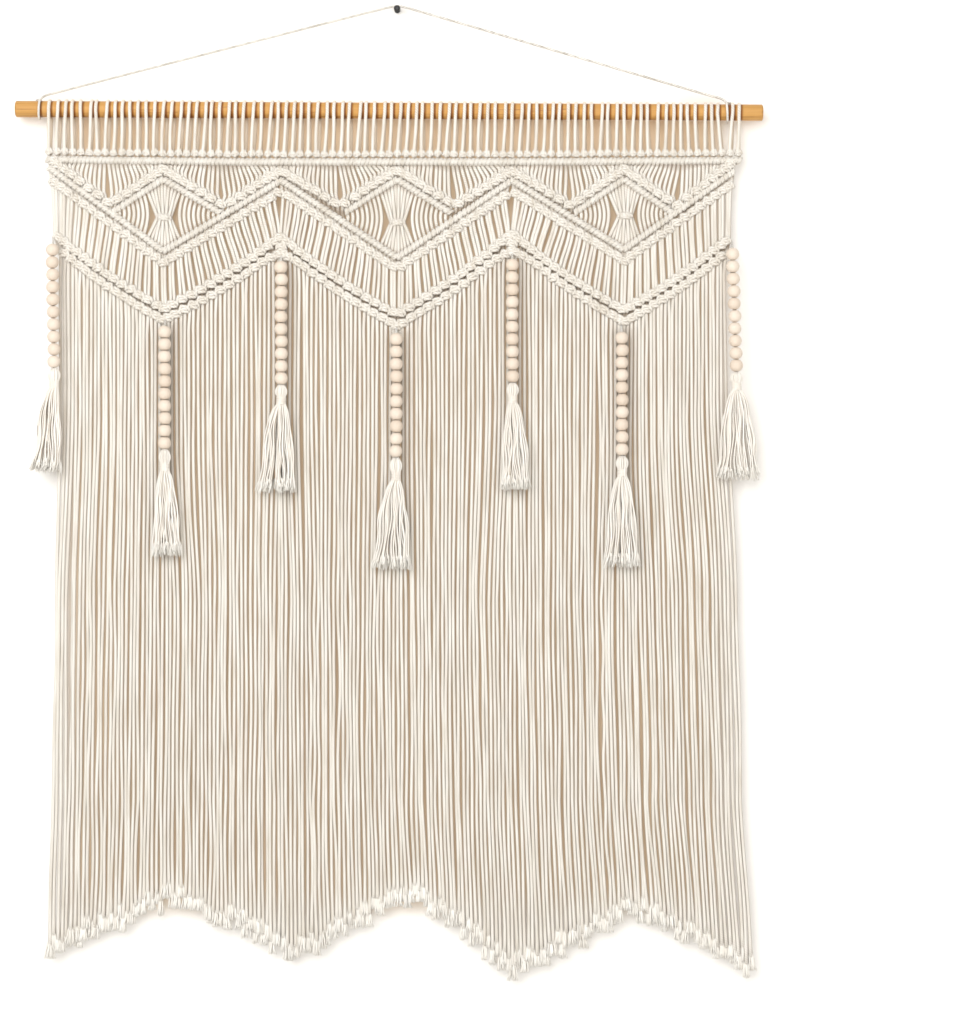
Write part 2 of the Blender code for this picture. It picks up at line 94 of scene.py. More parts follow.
Lamp = namedtuple("Lamp", "name across depth drop size watts colour")
LAMPS = (
    Lamp("key", -1150.0, 3600.0, -850.0, 3600.0, 174.0, (1.0, 1.0, 1.0)),
    Lamp("fill", 2200.0, 2800.0, 200.0, 2600.0, 30.0, (1.0, 0.98, 0.95)),
    Lamp("behind", 300.0, -2600.0, 200.0, 2600.0, 60.0, (1.0, 1.0, 1.0)),
)
lamps = {}
for lamp in LAMPS:
    data = bpy.data.lights.new(lamp.name, "AREA")
    data.size = lamp.size * MM
    data.energy = lamp.watts
    data.color = lamp.colour
    lamps[lamp.name] = bpy.data.objects.new(lamp.name, data)
    bpy.context.scene.collection.objects.link(lamps[lamp.name])
    lamps[lamp.name].location = at(lamp.across, lamp.depth, lamp.drop).tolist()
    turned_to(lamps[lamp.name], at(0.0, 0.0, LIT_DROP))


def new_finish(name, roughness, shine):
    """A new material and its shader, with its roughness and how strongly it mirrors."""
    material = bpy.data.materials.new(name)
    material.use_nodes = True
    shader = material.node_tree.nodes["Principled BSDF"]
    shader.inputs["Roughness"].default_value = roughness
    shader.inputs["Specular IOR Level"].default_value = shine
    return material, shader


def fill(socket, value):
    """Join a socket to another node's output, or set it to a number, a scale or a colour."""
    if isinstance(value, bpy.types.NodeSocket):
        socket.id_data.links.new(value, socket)
    elif socket.type == "RGBA":
        socket.default_value = (*value, 1.0)
    else:
        socket.default_value = value


def node(tree, kind, **inputs):
    """A new shader node with some of its inputs filled, each named, or numbered after an underscore."""
    made = tree.nodes.new(kind)
    for name, value in inputs.items():
        fill(made.inputs[int(name[1:]) if name[0] == "_" else name.replace("_", " ")], value)
    return made


def maths(operation, first, second=0.0):
    """A number worked out from two others, one of which at least is a node's output."""
    tree = next(value.id_data for value in (first, second) if isinstance(value, bpy.types.NodeSocket))
    made = node(tree, "ShaderNodeMath", _0=first, _1=second)
    made.operation = operation
    return made.outputs[0]


def blended(share, low, high):
    """A colour between two colours: low where the share is 0 and high where it is 1."""
    made = node(share.id_data, "ShaderNodeMix")
    made.data_type = "RGBA"
    for number, value in ((0, share), (6, low), (7, high)):
        fill(made.inputs[number], value)
    return made.outputs[2]


WALL_ROUGHNESS = 0.95
WALL_SHINE = 0.1


def backdrop(name, corners, colour, clear_from_behind, painted_bounce=None):
    """A flat sheet through four corners, one side of which can be looked through.

    Within a box across and down with soft edges, it is painted with the warmer bounce light off the cotton,
    and given a faint painted glow that stands for the light that comes through it.
    """
    mesh = bpy.data.meshes.new(name)
    mesh.from_pydata(corners.tolist(), [], [[0, 1, 2, 3]])
    material, shader = new_finish(name, WALL_ROUGHNESS, WALL_SHINE)
    tree = material.node_tree
    fill(shader.inputs["Base Color"], colour)
    if painted_bounce:
        place = node(tree, "ShaderNodeTexCoord").outputs["Object"]
        split = node(tree, "ShaderNodeSeparateXYZ", Vector=place)
        shares = []
        for axis, (middle, half, soft) in (("X", painted_bounce.across), ("Z", painted_bounce.drop)):
            off = maths("ABSOLUTE", maths("SUBTRACT", split.outputs[axis], middle * MM))
            share = node(tree, "ShaderNodeMapRange")
            share.interpolation_type = "SMOOTHSTEP"
            fill(share.inputs["From Min"], (half + soft) * MM)
            fill(share.inputs["From Max"], (half - soft) * MM)
            fill(share.inputs["Value"], off)
            shares.append(share.outputs["Result"])
        # The box's share, where the wall takes the painted bounce colour and glows with painted light
        both = maths("MULTIPLY", *shares)
        fill(shader.inputs["Base Color"], blended(both, colour, painted_bounce.colour))
        fill(shader.inputs["Emission Color"], painted_bounce.glow)
        fill(shader.inputs["Emission Strength"], both)
    if clear_from_behind:
        side = node(tree, "ShaderNodeNewGeometry").outputs["Backfacing"]
        clear = node(tree, "ShaderNodeBsdfTransparent").outputs["BSDF"]
        either = node(tree, "ShaderNodeMixShader", Fac=side, _1=shader.outputs["BSDF"], _2=clear)
        fill(tree.nodes["Material Output"].inputs["Surface"], either.outputs["Shader"])
    mesh.materials.append(material)
    sheet = bpy.data.objects.new(name, mesh)
    bpy.context.scene.collection.objects.link(sheet)
    return sheet


ROOM_REACH = 6000.0
FLOOR_DROP = 1500.0
WALL_DEPTH = -1.0
WALL_COLOUR = (0.87, 0.86, 0.84)
FLOOR_COLOUR = (0.76, 0.745, 0.72)
# Painted bounce light: behind the cotton the wall is painted warmer and glows faintly
PaintedBounce = namedtuple("PaintedBounce", "across drop colour glow")
PAINTED_BOUNCE_BEHIND_COTTON = PaintedBounce(
    across=(-3.0, 398.0, 14.0),
    drop=(-612.0, 488.0, 26.0),
    colour=(0.75, 0.62, 0.47),
    glow=(0.03, 0.018, 0.008),
)
both_ways = np.array([-ROOM_REACH, ROOM_REACH, ROOM_REACH, -ROOM_REACH])
up_the_wall = np.array([FLOOR_DROP, FLOOR_DROP, -ROOM_REACH / 2, -ROOM_REACH / 2])
into_the_room = np.array([ROOM_REACH, ROOM_REACH, WALL_DEPTH, WALL_DEPTH])
wall = backdrop("pale_wall", at(both_ways, WALL_DEPTH, up_the_wall), WALL_COLOUR, True, PAINTED_BOUNCE_BEHIND_COTTON)
floor = backdrop("pale_floor", at(both_ways, into_the_room, FLOOR_DROP), FLOOR_COLOUR, False)
not_wall = bpy.data.collections.new("not_the_wall")
lamps["behind"].light_linking.blocker_collection = not_wall
lamps["behind"].light_linking.receiver_collection = not_wall
for stage_piece in (wall, floor):
    not_wall.objects.link(stage_piece)
for entry in not_wall.collection_objects:
    entry.light_linking.link_state = "EXCLUDE"

# The hanging cord: a thin cotton cord of three plies, about a metre long. It is wound once round each end
# of the rod, tied behind it, and passes over the pin.

CORD_DIAMETER = 4.2
ROD_LENGTH = 915.0
ROD_DIAMETER = 20.0
ROD_ACROSS = -9.5
ROD_DROP = 126.0
ROD_TILT = math.radians(0.28)
ROD_DEPTH = NET_DEPTH
HANGING_CORD_DIAMETER = 3.0
HANGING_CORD_LAY = 3.6
HANGING_CORD_SIDES = 12
PLY_COUNT = 3
PLY_DEPTH = 0.11
PLY_FILL = 0.93
WRAP_START = 25.0
WRAP_END = 330.0
WRAP_STEPS = 12
WRAP_PLAY = 0.7
WRAP_GAP = 0.8
LEFT_WRAP = -436.0
RIGHT_WRAP = 402.6
PIN_CORD_DEPTH = 9.0
OVER_PIN = -3.9

# The last field holds a painted shade for each point: 1 where shade is painted, 0 where none is
Skin = namedtuple("Skin", "points faces uvs deep")


def rod_drop(across):
    """The drop of the rod's middle line, which tilts a little down to the right."""
    return ROD_DROP + (across - ROD_ACROSS) * math.tan(ROD_TILT)


def wrap_points(across, side):
    """One turn round the rod, from behind over the top, down the front and under: a circle, moved aside."""
    angle = np.radians(np.linspace(WRAP_START, WRAP_END, WRAP_STEPS + 1))
    radius = (ROD_DIAMETER + HANGING_CORD_DIAMETER) / 2 + WRAP_PLAY
    place = across + side * (HANGING_CORD_DIAMETER + WRAP_GAP) * angle / (2 * math.pi)
    depth = ROD_DEPTH + radius * np.sin(angle)
    return np.stack([place, depth, rod_drop(place) - radius * np.cos(angle)], axis=1)


def smooth_line(points, steps):
    """A centripetal Catmull-Rom curve through points (n, 3), with equally many steps between each two."""
    padded = np.vstack([2 * points[0] - points[1], points, 2 * points[-1] - points[-2]])
    gaps = np.sqrt(np.linalg.norm(np.diff(padded, axis=0), axis=1))
    share = np.linspace(0.0, 1.0, steps, endpoint=False)
    p = [padded[k : len(padded) - 3 + k, None, :] for k in range(4)]
    before, here, after = (gaps[k : len(gaps) - 2 + k, None, None] for k in range(3))
    t = share[None, :, None] * here
    a1 = (p[1] * (before + t) - p[0] * t) / before
    a2 = (p[1] * (here - t) + p[2] * t) / here
    a3 = (p[2] * (here + after - t) + p[3] * (t - here)) / after
    b1 = (a1 * (here - t) + a2 * (t + before)) / (before + here)
    b2 = (a2 * (here + after - t) + a3 * t) / (here + after)
    curve = (b1 * (here - t) + b2 * t) / here
    return np.vstack([curve.reshape(-1, 3), points[-1:]])


def evenly_spaced(line, spacing):
    """The same line with its points a spacing apart, measured along it."""
    along = np.concatenate([[0.0], np.cumsum(np.linalg.norm(np.diff(line, axis=0), axis=1))])
    wanted = np.linspace(0.0, along[-1], int(along[-1] / spacing) + 2)
    return np.stack([np.interp(wanted, along, line[:, axis]) for axis in range(3)], axis=1)


def unit(vectors):
    return vectors / np.linalg.norm(vectors, axis=-1, keepdims=True)


def quads_round(rows, sides, way, flipped=False):
    """Quads round the sides of many grids of points, and where their corners lie on the UV map.

    u is the turn, and way (2, grids, rows of quads) holds v at both ends of each row of quads. With as many
    rows of quads as of points, the last row meets the first. flipped quads face the other way.
    """
    start = (np.arange(way.shape[1]) * rows * sides)[:, None, None]
    row = np.arange(way.shape[2])[None, :, None]
    here = np.arange(sides)[None, None, :]
    corners = ((0, 0), (1, 0), (1, 1), (0, 1)) if flipped else ((0, 0), (0, 1), (1, 1), (1, 0))
    quads = [start + (row + ahead) % rows * sides + (here + beside) % sides for ahead, beside in corners]
    uvs = [
        np.stack(np.broadcast_arrays((here + beside) / sides, way[ahead, :, :, None]), axis=-1)
        for ahead, beside in corners
    ]
    return np.stack(quads, axis=-1).reshape(-1, 4), np.stack(uvs, axis=-2).reshape(-1, 4, 2)


FLANK_MIDDLE = 0.2
FLANK_REACH = 0.94
FLANK_FADE = 0.66


def tube(paths, radius, sides, ply_depth=0.0, lay=1.0):
    """Round skins along many paths at once. paths is (tubes, rings, 3) in metres.

    A ring's point is centre + r (cos a * side + sin a * up). side starts square to the path and is carried
    from ring to ring by taking away what lies along the path. r swells by ply_depth at each ply, and the
    plies turn once in every lay. The skin's painted shade is 1 on the flanks, which face the next cord, and 0
    where the cord faces out or the wall: shade painted where the cords lie against each other.
    """
    count, rings = paths.shape[:2]
    ahead = unit(np.gradient(paths, axis=1))
    side = np.empty_like(ahead)
    first = np.eye(3)[np.argmin(np.abs(ahead[:, 0]), axis=1)]
    for ring in range(rings):
        last = first if ring == 0 else side[:, ring - 1]
        along = (last * ahead[:, ring]).sum(axis=1, keepdims=True)
        side[:, ring] = unit(last - along * ahead[:, ring])
    up = np.cross(ahead, side)
    steps = np.linalg.norm(np.diff(paths, axis=1), axis=2)
    length = np.concatenate([np.zeros((count, 1)), np.cumsum(steps, axis=1)], axis=1)
    angle = 2 * math.pi * np.arange(sides) / sides
    ply_turn = 2 * math.pi * length[..., None] / (PLY_COUNT * lay)
    swell = 1 + ply_depth * np.cos(PLY_COUNT * (angle + ply_turn))
    reach = (np.broadcast_to(radius, (count, rings))[..., None] * swell)[..., None]
    turned = np.cos(angle)[:, None] * side[:, :, None, :] + np.sin(angle)[:, None] * up[:, :, None, :]
    points = (paths[:, :, None, :] + reach * turned).reshape(-1, 3)
    deep = (FLANK_REACH - np.abs(turned[..., 1] - FLANK_MIDDLE)) / FLANK_FADE
    quads, quad_uvs = quads_round(rings, sides, np.stack([length[:, :-1], length[:, 1:]]))
    end_ring = np.arange(sides) + (np.arange(count) * rings * sides)[:, None]
    caps = np.concatenate([end_ring[:, ::-1], end_ring + (rings - 1) * sides])
    cap_uvs = np.zeros((*caps.shape, 2))
    return Skin(points, [quads, caps], [quad_uvs, cap_uvs], np.clip(deep, 0.0, 1.0).ravel())


def joined(skins):
    """Several skins as one."""
    starts = np.cumsum([0] + [len(skin.points) for skin in skins])
    return Skin(
        np.concatenate([skin.points for skin in skins]),
        [face + start for skin, start in zip(skins, starts) for face in skin.faces],
        [uv for skin in skins for uv in skin.uvs],
        np.concatenate([skin.deep for skin in skins]),
    )


def keep(mesh, name, kind, field, values):
    """Keep a value for each point of a mesh, where its material can read it."""
    kept = mesh.attributes.new(name, kind, "POINT")
    kept.data.foreach_set(field, values.astype(np.float32).ravel())


def add_piece(name, skin, material, replaces=()):
    """Put a skin into a mesh that rides on the hanging, smooth, with its own UV map."""
    mesh = bpy.data.meshes.new(name)
    sizes = np.concatenate([np.full(len(face), face.shape[1]) for face in skin.faces])
    corners = np.concatenate([face.ravel() for face in skin.faces])
    corner_uvs = np.concatenate([uv.reshape(-1, 2) for uv in skin.uvs])
    mesh.vertices.add(len(skin.points))
    mesh.vertices.foreach_set("co", skin.points.astype(np.float32).ravel())
    mesh.loops.add(len(corners))
    mesh.loops.foreach_set("vertex_index", corners.astype(np.int32))
    mesh.polygons.add(len(sizes))
    mesh.polygons.foreach_set("loop_start", (np.cumsum(sizes) - sizes).astype(np.int32))
    mesh.uv_layers.new(name="UVMap").data.foreach_set("uv", corner_uvs.astype(np.float32).ravel())
    # Each point keeps its painted shade, which the cotton and the pine read
    keep(mesh, "deep", "FLOAT", "value", skin.deep)
    mesh.update(calc_edges=True)
    mesh.validate()
    mesh.shade_smooth()
    mesh.materials.append(material)
    piece = bpy.data.objects.new(name, mesh)
    bpy.context.scene.collection.objects.link(piece)
    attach(piece, "root")
    if replaces:
        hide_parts(*replaces)
    return piece


def noise(place, scale, detail=2.0):
    """Cloudy noise, from 0 to 1, at a place."""
    return node(place.id_data, "ShaderNodeTexNoise", Vector=place, Scale=scale, Detail=detail).outputs["Fac"]


def stretched(place, scale):
    """A place with its axes scaled, which draws a pattern out along the axis with the smallest scale."""
    return node(place.id_data, "ShaderNodeMapping", Vector=place, Scale=scale).outputs["Vector"]


def raised(shader, height, strength, distance, over=None):
    """A bump a distance in millimetres high, over another bump or on its own, on a shader."""
    bump = node(shader.id_data, "ShaderNodeBump", Height=height, Strength=strength, Distance=distance * MM)
    if over:
        fill(bump.inputs["Normal"], over)
    fill(shader.inputs["Normal"], bump.outputs["Normal"])
    return bump.outputs["Normal"]


def kept_value(tree, name):
    """The node that reads a value kept for each point."""
    reader = node(tree, "ShaderNodeAttribute")
    reader.attribute_name = name
    return reader


COTTON_ROUGHNESS = 0.92
COTTON_SHINE = 0.15
COTTON_SHEEN = 0.4
SHEEN_ROUGHNESS = 0.5
GROOVE_SHARPNESS = 1.5
GROOVE_SHARE = 0.75
TONE_STRETCH = (1.0, 1.0, 0.12)
TONE_SCALE = 170.0
TONE_MIDDLE = 0.42
TONE_SHARE = 1.4
FIBRE_SCALE = 1300.0
FIBRE_DETAIL = 3.0
FIBRE_SHARE = 0.9
FUZZ_STRENGTH = 0.6
FUZZ_HEIGHT = 0.3


def cotton(name, light, groove, between, lay, twist_depth):
    """Soft cotton: plies that wind along the UV map, fine fibres, slow changes of tone, and painted warm
    shade in the hollows.

    A ply's height is |sin(pi (3 u + v / lay))|. The groove colour, painted shade in the grooves between the
    plies, comes in by (1 - height)^1.5, and by the cord's own noise of tone and fibre. Where the skin's
    painted shade nears 1, between the cords, the colour goes over to the warmer between colour: painted warm
    shade.
    """
    material, shader = new_finish(name, COTTON_ROUGHNESS, COTTON_SHINE)
    tree = material.node_tree
    coordinates = node(tree, "ShaderNodeTexCoord").outputs
    split = node(tree, "ShaderNodeSeparateXYZ", Vector=coordinates["UV"]).outputs
    across_plies = maths("MULTIPLY", split["X"], float(PLY_COUNT))
    turns = maths("ADD", across_plies, maths("MULTIPLY", split["Y"], 1 / (lay * MM)))
    ply = maths("ABSOLUTE", maths("SINE", maths("MULTIPLY", turns, math.pi)))
    tone = noise(stretched(coordinates["Object"], TONE_STRETCH), TONE_SCALE)
    fibre = noise(coordinates["Object"], FIBRE_SCALE, FIBRE_DETAIL)
    in_groove = maths("POWER", maths("SUBTRACT", 1.0, ply), GROOVE_SHARPNESS)
    grooves = maths("MULTIPLY", in_groove, GROOVE_SHARE)
    tones = maths("MULTIPLY", maths("SUBTRACT", tone, TONE_MIDDLE), TONE_SHARE)
    fibres = maths("MULTIPLY", maths("SUBTRACT", fibre, 0.5), FIBRE_SHARE)
    shade = maths("ADD", maths("ADD", grooves, tones), fibres)
    # Painted shade in the ply grooves, and the cord's own changes of tone and fibre
    colour = blended(node(tree, "ShaderNodeClamp", Value=shade).outputs[0], light, groove)
    # Painted warm shade between the cords, where the skin's painted shade nears 1
    colour = blended(kept_value(tree, "deep").outputs["Fac"], colour, between)
    fill(shader.inputs["Base Color"], colour)
    twist = raised(shader, ply, 1.0, twist_depth)
    raised(shader, fibre, FUZZ_STRENGTH, FUZZ_HEIGHT, over=twist)
    fill(shader.inputs["Sheen Weight"], COTTON_SHEEN)
    fill(shader.inputs["Sheen Roughness"], SHEEN_ROUGHNESS)
    return material


# The cord's line, place by place: across, depth, and down
left_rod, right_rod = rod_drop(LEFT_WRAP), rod_drop(RIGHT_WRAP)
route = np.vstack([
    wrap_points(LEFT_WRAP, -1)[::-1],
    (LEFT_WRAP + 2.2, ROD_DEPTH + 2.2, left_rod - 14.2),
    (LEFT_WRAP + 7.0, ROD_DEPTH, left_rod - 17.2),
    (LEFT_WRAP + 18.0, ROD_DEPTH - 0.3, left_rod - 20.2),
    (-30.0, PIN_CORD_DEPTH + 0.6, OVER_PIN + 6.6),
    (-8.0, PIN_CORD_DEPTH + 0.2, OVER_PIN + 1.2),
    (0.0, PIN_CORD_DEPTH, OVER_PIN),
    (8.0, PIN_CORD_DEPTH + 0.2, OVER_PIN + 1.2),
    (30.0, PIN_CORD_DEPTH + 0.6, OVER_PIN + 7.4),
    (RIGHT_WRAP - 18.0, ROD_DEPTH - 0.3, right_rod - 20.4),
    (RIGHT_WRAP - 6.5, ROD_DEPTH, right_rod - 17.2),
    (RIGHT_WRAP - 2.0, ROD_DEPTH + 2.2, right_rod - 14.2),
    wrap_points(RIGHT_WRAP, 1),
])
cord_line = evenly_spaced(smooth_line(route, steps=16), spacing=1.0)
cord_path = at(*cord_line.T)
THIN_LIGHT = (0.78, 0.76, 0.71)
THIN_GROOVE = (0.2, 0.165, 0.13)
THIN_PAINTED_SHADE = (0.55, 0.48, 0.4)
thin_cotton = cotton("thin_cotton", THIN_LIGHT, THIN_GROOVE, THIN_PAINTED_SHADE, HANGING_CORD_LAY, twist_depth=0.3)
thin_radius = HANGING_CORD_DIAMETER / 2 * MM * PLY_FILL
thin_skin = tube(cord_path[None], thin_radius, HANGING_CORD_SIDES, PLY_DEPTH, HANGING_CORD_LAY * MM)

# Round the front of the rod the plies are pulled flat, so the map holds still there on the top of one ply,
# and neither the ply bump nor the painted groove shade shows there
FLAT_FROM = 2.5
in_front = cord_line[:-1, 1] > ROD_DEPTH + FLAT_FROM
thin_skin.uvs[0][np.repeat(in_front, HANGING_CORD_SIDES)] = (0.5 / PLY_COUNT, 0.0)
hanging_cord = add_piece("twisted_cord", thin_skin, thin_cotton, ["hanging_cord"])

END_KNOT_SIZE = 0.95
END_KNOT_RADIUS = 1.25


def tie_knot(centre, size, steps):
    """A small hard knot: a trefoil line, (sin t + 2 sin 2t, cos t - 2 cos 2t, 1.2 sin 3t), closed up."""
    t = np.linspace(0.0, 2 * math.pi, steps)
    shape = [np.sin(t) + 2 * np.sin(2 * t), 1.2 * np.sin(3 * t), np.cos(t) - 2 * np.cos(2 * t)]
    return centre + np.stack(shape, axis=1) * size * MM


knot_paths = np.stack([tie_knot(cord_path[end], END_KNOT_SIZE, 40) for end in (0, -1)])
knot_skin = tube(knot_paths, END_KNOT_RADIUS * MM, 8)
cord_knots = add_piece("cord_end_knots", knot_skin, thin_cotton)

# The wall pin: a turned steel pin with a round head, painted black and driven into the wall. The cord lies
# on its shank.

PAINT = (0.012, 0.012, 0.013)
WORN_PAINT = (0.05, 0.048, 0.045)
WORN_ABOVE = 0.66

black_paint, paint_shader = new_finish("black_paint", roughness=0.38, shine=0.5)
paint_place = node(black_paint.node_tree, "ShaderNodeTexCoord").outputs["Object"]
paint_grain = noise(paint_place, 900.0)
worn = maths("GREATER_THAN", paint_grain, WORN_ABOVE)
fill(paint_shader.inputs["Base Color"], blended(worn, PAINT, WORN_PAINT))
fill(paint_shader.inputs["Metallic"], 0.3)
raised(paint_shader, paint_grain, strength=0.3, distance=0.1)
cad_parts["wall_pin"].data.materials.clear()
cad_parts["wall_pin"].data.materials.append(black_paint)

# The rod: a round dowel of golden pine, sanded and lightly oiled. It is sawn to length and its rims are
# rounded over; its grain runs lengthwise with a few darker lines, and a painted shadow darkens it beside the
# 86 loops on it.

LOOP_COUNT = 86
FIRST_KNOT = -426.0
LAST_KNOT = 417.5
LOOP_LEAN = 3.0
LEAN_WAVES = 1.2
LEAN_START = 0.4
LOOP_JITTER = 2.2
WRAPPED_AFTER = 83.5
WRAP_PARTING = 2.8
PARTING_REACH = 2.5
ROD_ROUNDING = 2.2
ROD_SIDES = 32
ROD_RINGS = 720
LOOP_SHADE = 3.1
SHADE_REACH = 1.8
SHADE_FADE = 1.1

# The loops' tops lean to either side, and stand apart beside the hanging cord's turn round the rod
heading_rng = np.random.default_rng(7)
order = np.arange(LOOP_COUNT)
knot_across = np.linspace(FIRST_KNOT, LAST_KNOT, LOOP_COUNT)
lean = LOOP_LEAN * np.cos(LEAN_WAVES * math.pi * (order / (LOOP_COUNT - 1) - LEAN_START))
top_across = knot_across + lean + heading_rng.uniform(-LOOP_JITTER, LOOP_JITTER, LOOP_COUNT)
from_wrap = order - WRAPPED_AFTER
top_across += WRAP_PARTING * np.sign(from_wrap) * np.exp(-(np.abs(from_wrap) - 0.5) / PARTING_REACH)


def turned_rod():
    """A profile turned about the rod's tilted line: radius by the way along, round at the rims.

    Its painted shade is 1 beside each loop and each turn of the hanging cord, and fades to 0 within 2 mm to
    its right: a painted shadow on the wood.
    """
    half, full = ROD_LENGTH / 2, ROD_DIAMETER / 2
    turn = np.linspace(0.0, math.pi / 2, 6)
    rim_along = half - ROD_ROUNDING + ROD_ROUNDING * np.sin(turn)
    rim_radius = full - ROD_ROUNDING + ROD_ROUNDING * np.cos(turn)
    body = np.linspace(-half, half, ROD_RINGS)[1:-1]
    along = np.concatenate([-rim_along[::-1], body, rim_along])
    radius = np.concatenate([rim_radius[::-1], np.full(len(body), full), rim_radius])
    path = at(ROD_ACROSS + along * math.cos(ROD_TILT), ROD_DEPTH, ROD_DROP + along * math.sin(ROD_TILT))
    skin = tube(path[None], radius[None] * MM, ROD_SIDES)
    wraps = np.concatenate([top_across, [LEFT_WRAP - 2.0, RIGHT_WRAP + 2.0]])
    beside = (ROD_ACROSS + along)[:, None] - (wraps[None, :] + LOOP_SHADE)
    beside = np.where(beside > -LOOP_SHADE, np.maximum(beside, 0.0), ROD_LENGTH).min(axis=1)
    shade = np.clip(SHADE_REACH - beside / SHADE_FADE, 0.0, 1.0)
    return skin._replace(deep=np.repeat(shade, ROD_SIDES))


PALE_WOOD = (0.57, 0.315, 0.1)
BROWN_WOOD = (0.37, 0.17, 0.04)
FINE_WOOD = (0.65, 0.38, 0.125)
LINE_WOOD = (0.24, 0.11, 0.035)
SHADED_WOOD = (0.17, 0.05, 0.006)
LINE_HALF_WIDTH = 0.012
FINE_SHARE = 0.5
LINE_SHARE = 0.5
SHADED_SHARE = 0.92
Grain = namedtuple("Grain", "stretch scale detail")
PINE_GRAINS = (
    Grain((1.6, 60.0, 60.0), 3.0, 5.0),
    Grain((9.0, 500.0, 500.0), 2.0, 3.0),
    Grain((0.6, 22.0, 22.0), 6.0, 2.0),
)

pine, pine_shader = new_finish("golden_pine", roughness=0.45, shine=0.2)
pine_place = node(pine.node_tree, "ShaderNodeTexCoord").outputs["Object"]
broad_grain, fine_grain, line_grain = (
    noise(stretched(pine_place, grain.stretch), grain.scale, grain.detail) for grain in PINE_GRAINS
)
line = maths("LESS_THAN", maths("ABSOLUTE", maths("SUBTRACT", line_grain, 0.5)), LINE_HALF_WIDTH)
wood = blended(broad_grain, PALE_WOOD, BROWN_WOOD)
wood = blended(maths("MULTIPLY", fine_grain, FINE_SHARE), wood, FINE_WOOD)
wood = blended(maths("MULTIPLY", line, LINE_SHARE), wood, LINE_WOOD)
# Painted shadow: the wood goes over to SHADED_WOOD beside each loop and each turn of the hanging cord
painted_shadow_beside_loops = kept_value(pine.node_tree, "deep").outputs["Fac"]
wood = blended(maths("MULTIPLY", painted_shadow_beside_loops, SHADED_SHARE), wood, SHADED_WOOD)
fill(pine_shader.inputs["Base Color"], wood)
raised(pine_shader, fine_grain, strength=0.35, distance=0.3)
add_piece("dowel", turned_rod(), pine, ["rod"])

# The heading: 86 cotton cords folded over the rod. The two legs of each meet in a small knot that sits on
# the header band, one straight cord that every leg is hitched to twice.

BAND_HEIGHT = 10.4
BAND_DEPTH = 9.8
HITCH_THICK = 2.0
LOOP_KNOT_RISE = 10.0
LOOP_PLAY = 0.3
LOOP_ARC = (-12.0, 192.0)
LEG_DEPTH = 2.2
FRONT_FOOT = -0.6
BACK_FOOT = 1.6

HeaderPoint = namedtuple("HeaderPoint", "across drop")
HEADER = (
    HeaderPoint(-430.5, 185.4),
    HeaderPoint(-200.0, 188.4),
    HeaderPoint(150.0, 188.4),
    HeaderPoint(422.0, 186.8),
)
STRAND_COUNT = 2 * LOOP_COUNT
strand = np.arange(STRAND_COUNT)
OUT = np.array([0.0, -1.0, 0.0])
RING_SIDES = 6
RING_BACK = 0.2
RING_BACK_SHADE = 0.9
RING_BACK_FADE = 2.0


def header_drop(across):
    return np.interp(across, [p.across for p in HEADER], [p.drop for p in HEADER])


def rings(
    centres, along, half_along, half_out, thick_out, thick_side, slant=0.0, steps=8, square=1.0, groove=0.55
):
    """Closed cord rings: centre + half_along cos(t) along + half_out sin(t) out + slant cos(t) sideways.

    Its section is a six-sided ellipse, thick_out across the ring's edge and thick_side along the ridge.
    square under 1 makes the ring boxier. Its painted shade is groove (1 - cos turn), so 0 on the outer edge
    and
    groove where the next ring lies against it, and up to 0.9 above and below the row, a little behind its
    middle:
    shade painted in the creases between rings and along the edges of the row.
    """
    t = (2 * math.pi * (np.arange(steps) + 0.5) / steps)[None, :, None]
    sideways = np.cross(along, OUT)[:, None, :]
    along = along[:, None, :]
    cos, sin = np.cos(t), np.sin(t)
    boxy_cos, boxy_sin = np.sign(cos) * np.abs(cos) ** square, np.sign(sin) * np.abs(sin) ** square
    halves = (np.broadcast_to(half, len(centres)) for half in (half_along, half_out))
    half_along, half_out = (half[:, None, None] for half in halves)
    line = centres[:, None, :] + MM * (
        half_along * boxy_cos * along + half_out * boxy_sin * OUT + slant * cos * sideways
    )
    facing = unit(cos / half_along * along + sin / half_out * OUT)
    turn = (2 * math.pi * np.arange(RING_SIDES) / RING_SIDES)[None, None, :, None]
    edge = thick_out * np.cos(turn) * facing[:, :, None, :]
    flank = thick_side * np.sin(turn) * sideways[:, :, None, :]
    points = line[:, :, None, :] + MM * (edge + flank)
    behind = RING_BACK_SHADE - np.abs(boxy_sin[..., None, :] + RING_BACK) * RING_BACK_FADE
    beside = groove * (1 - np.cos(turn)) * np.ones((len(centres), steps, 1, 1))
    deep = np.clip(np.maximum(beside, behind), 0.0, 1.0)

    span = MM * math.pi * (half_along + half_out)[:, 0] / steps
    way = np.arange(steps)[None, :] * span
    quads, uvs = quads_round(steps, RING_SIDES, np.stack([way, way + span]), flipped=True)
    return Skin(points.reshape(-1, 3), [quads], [uvs], deep.ravel())


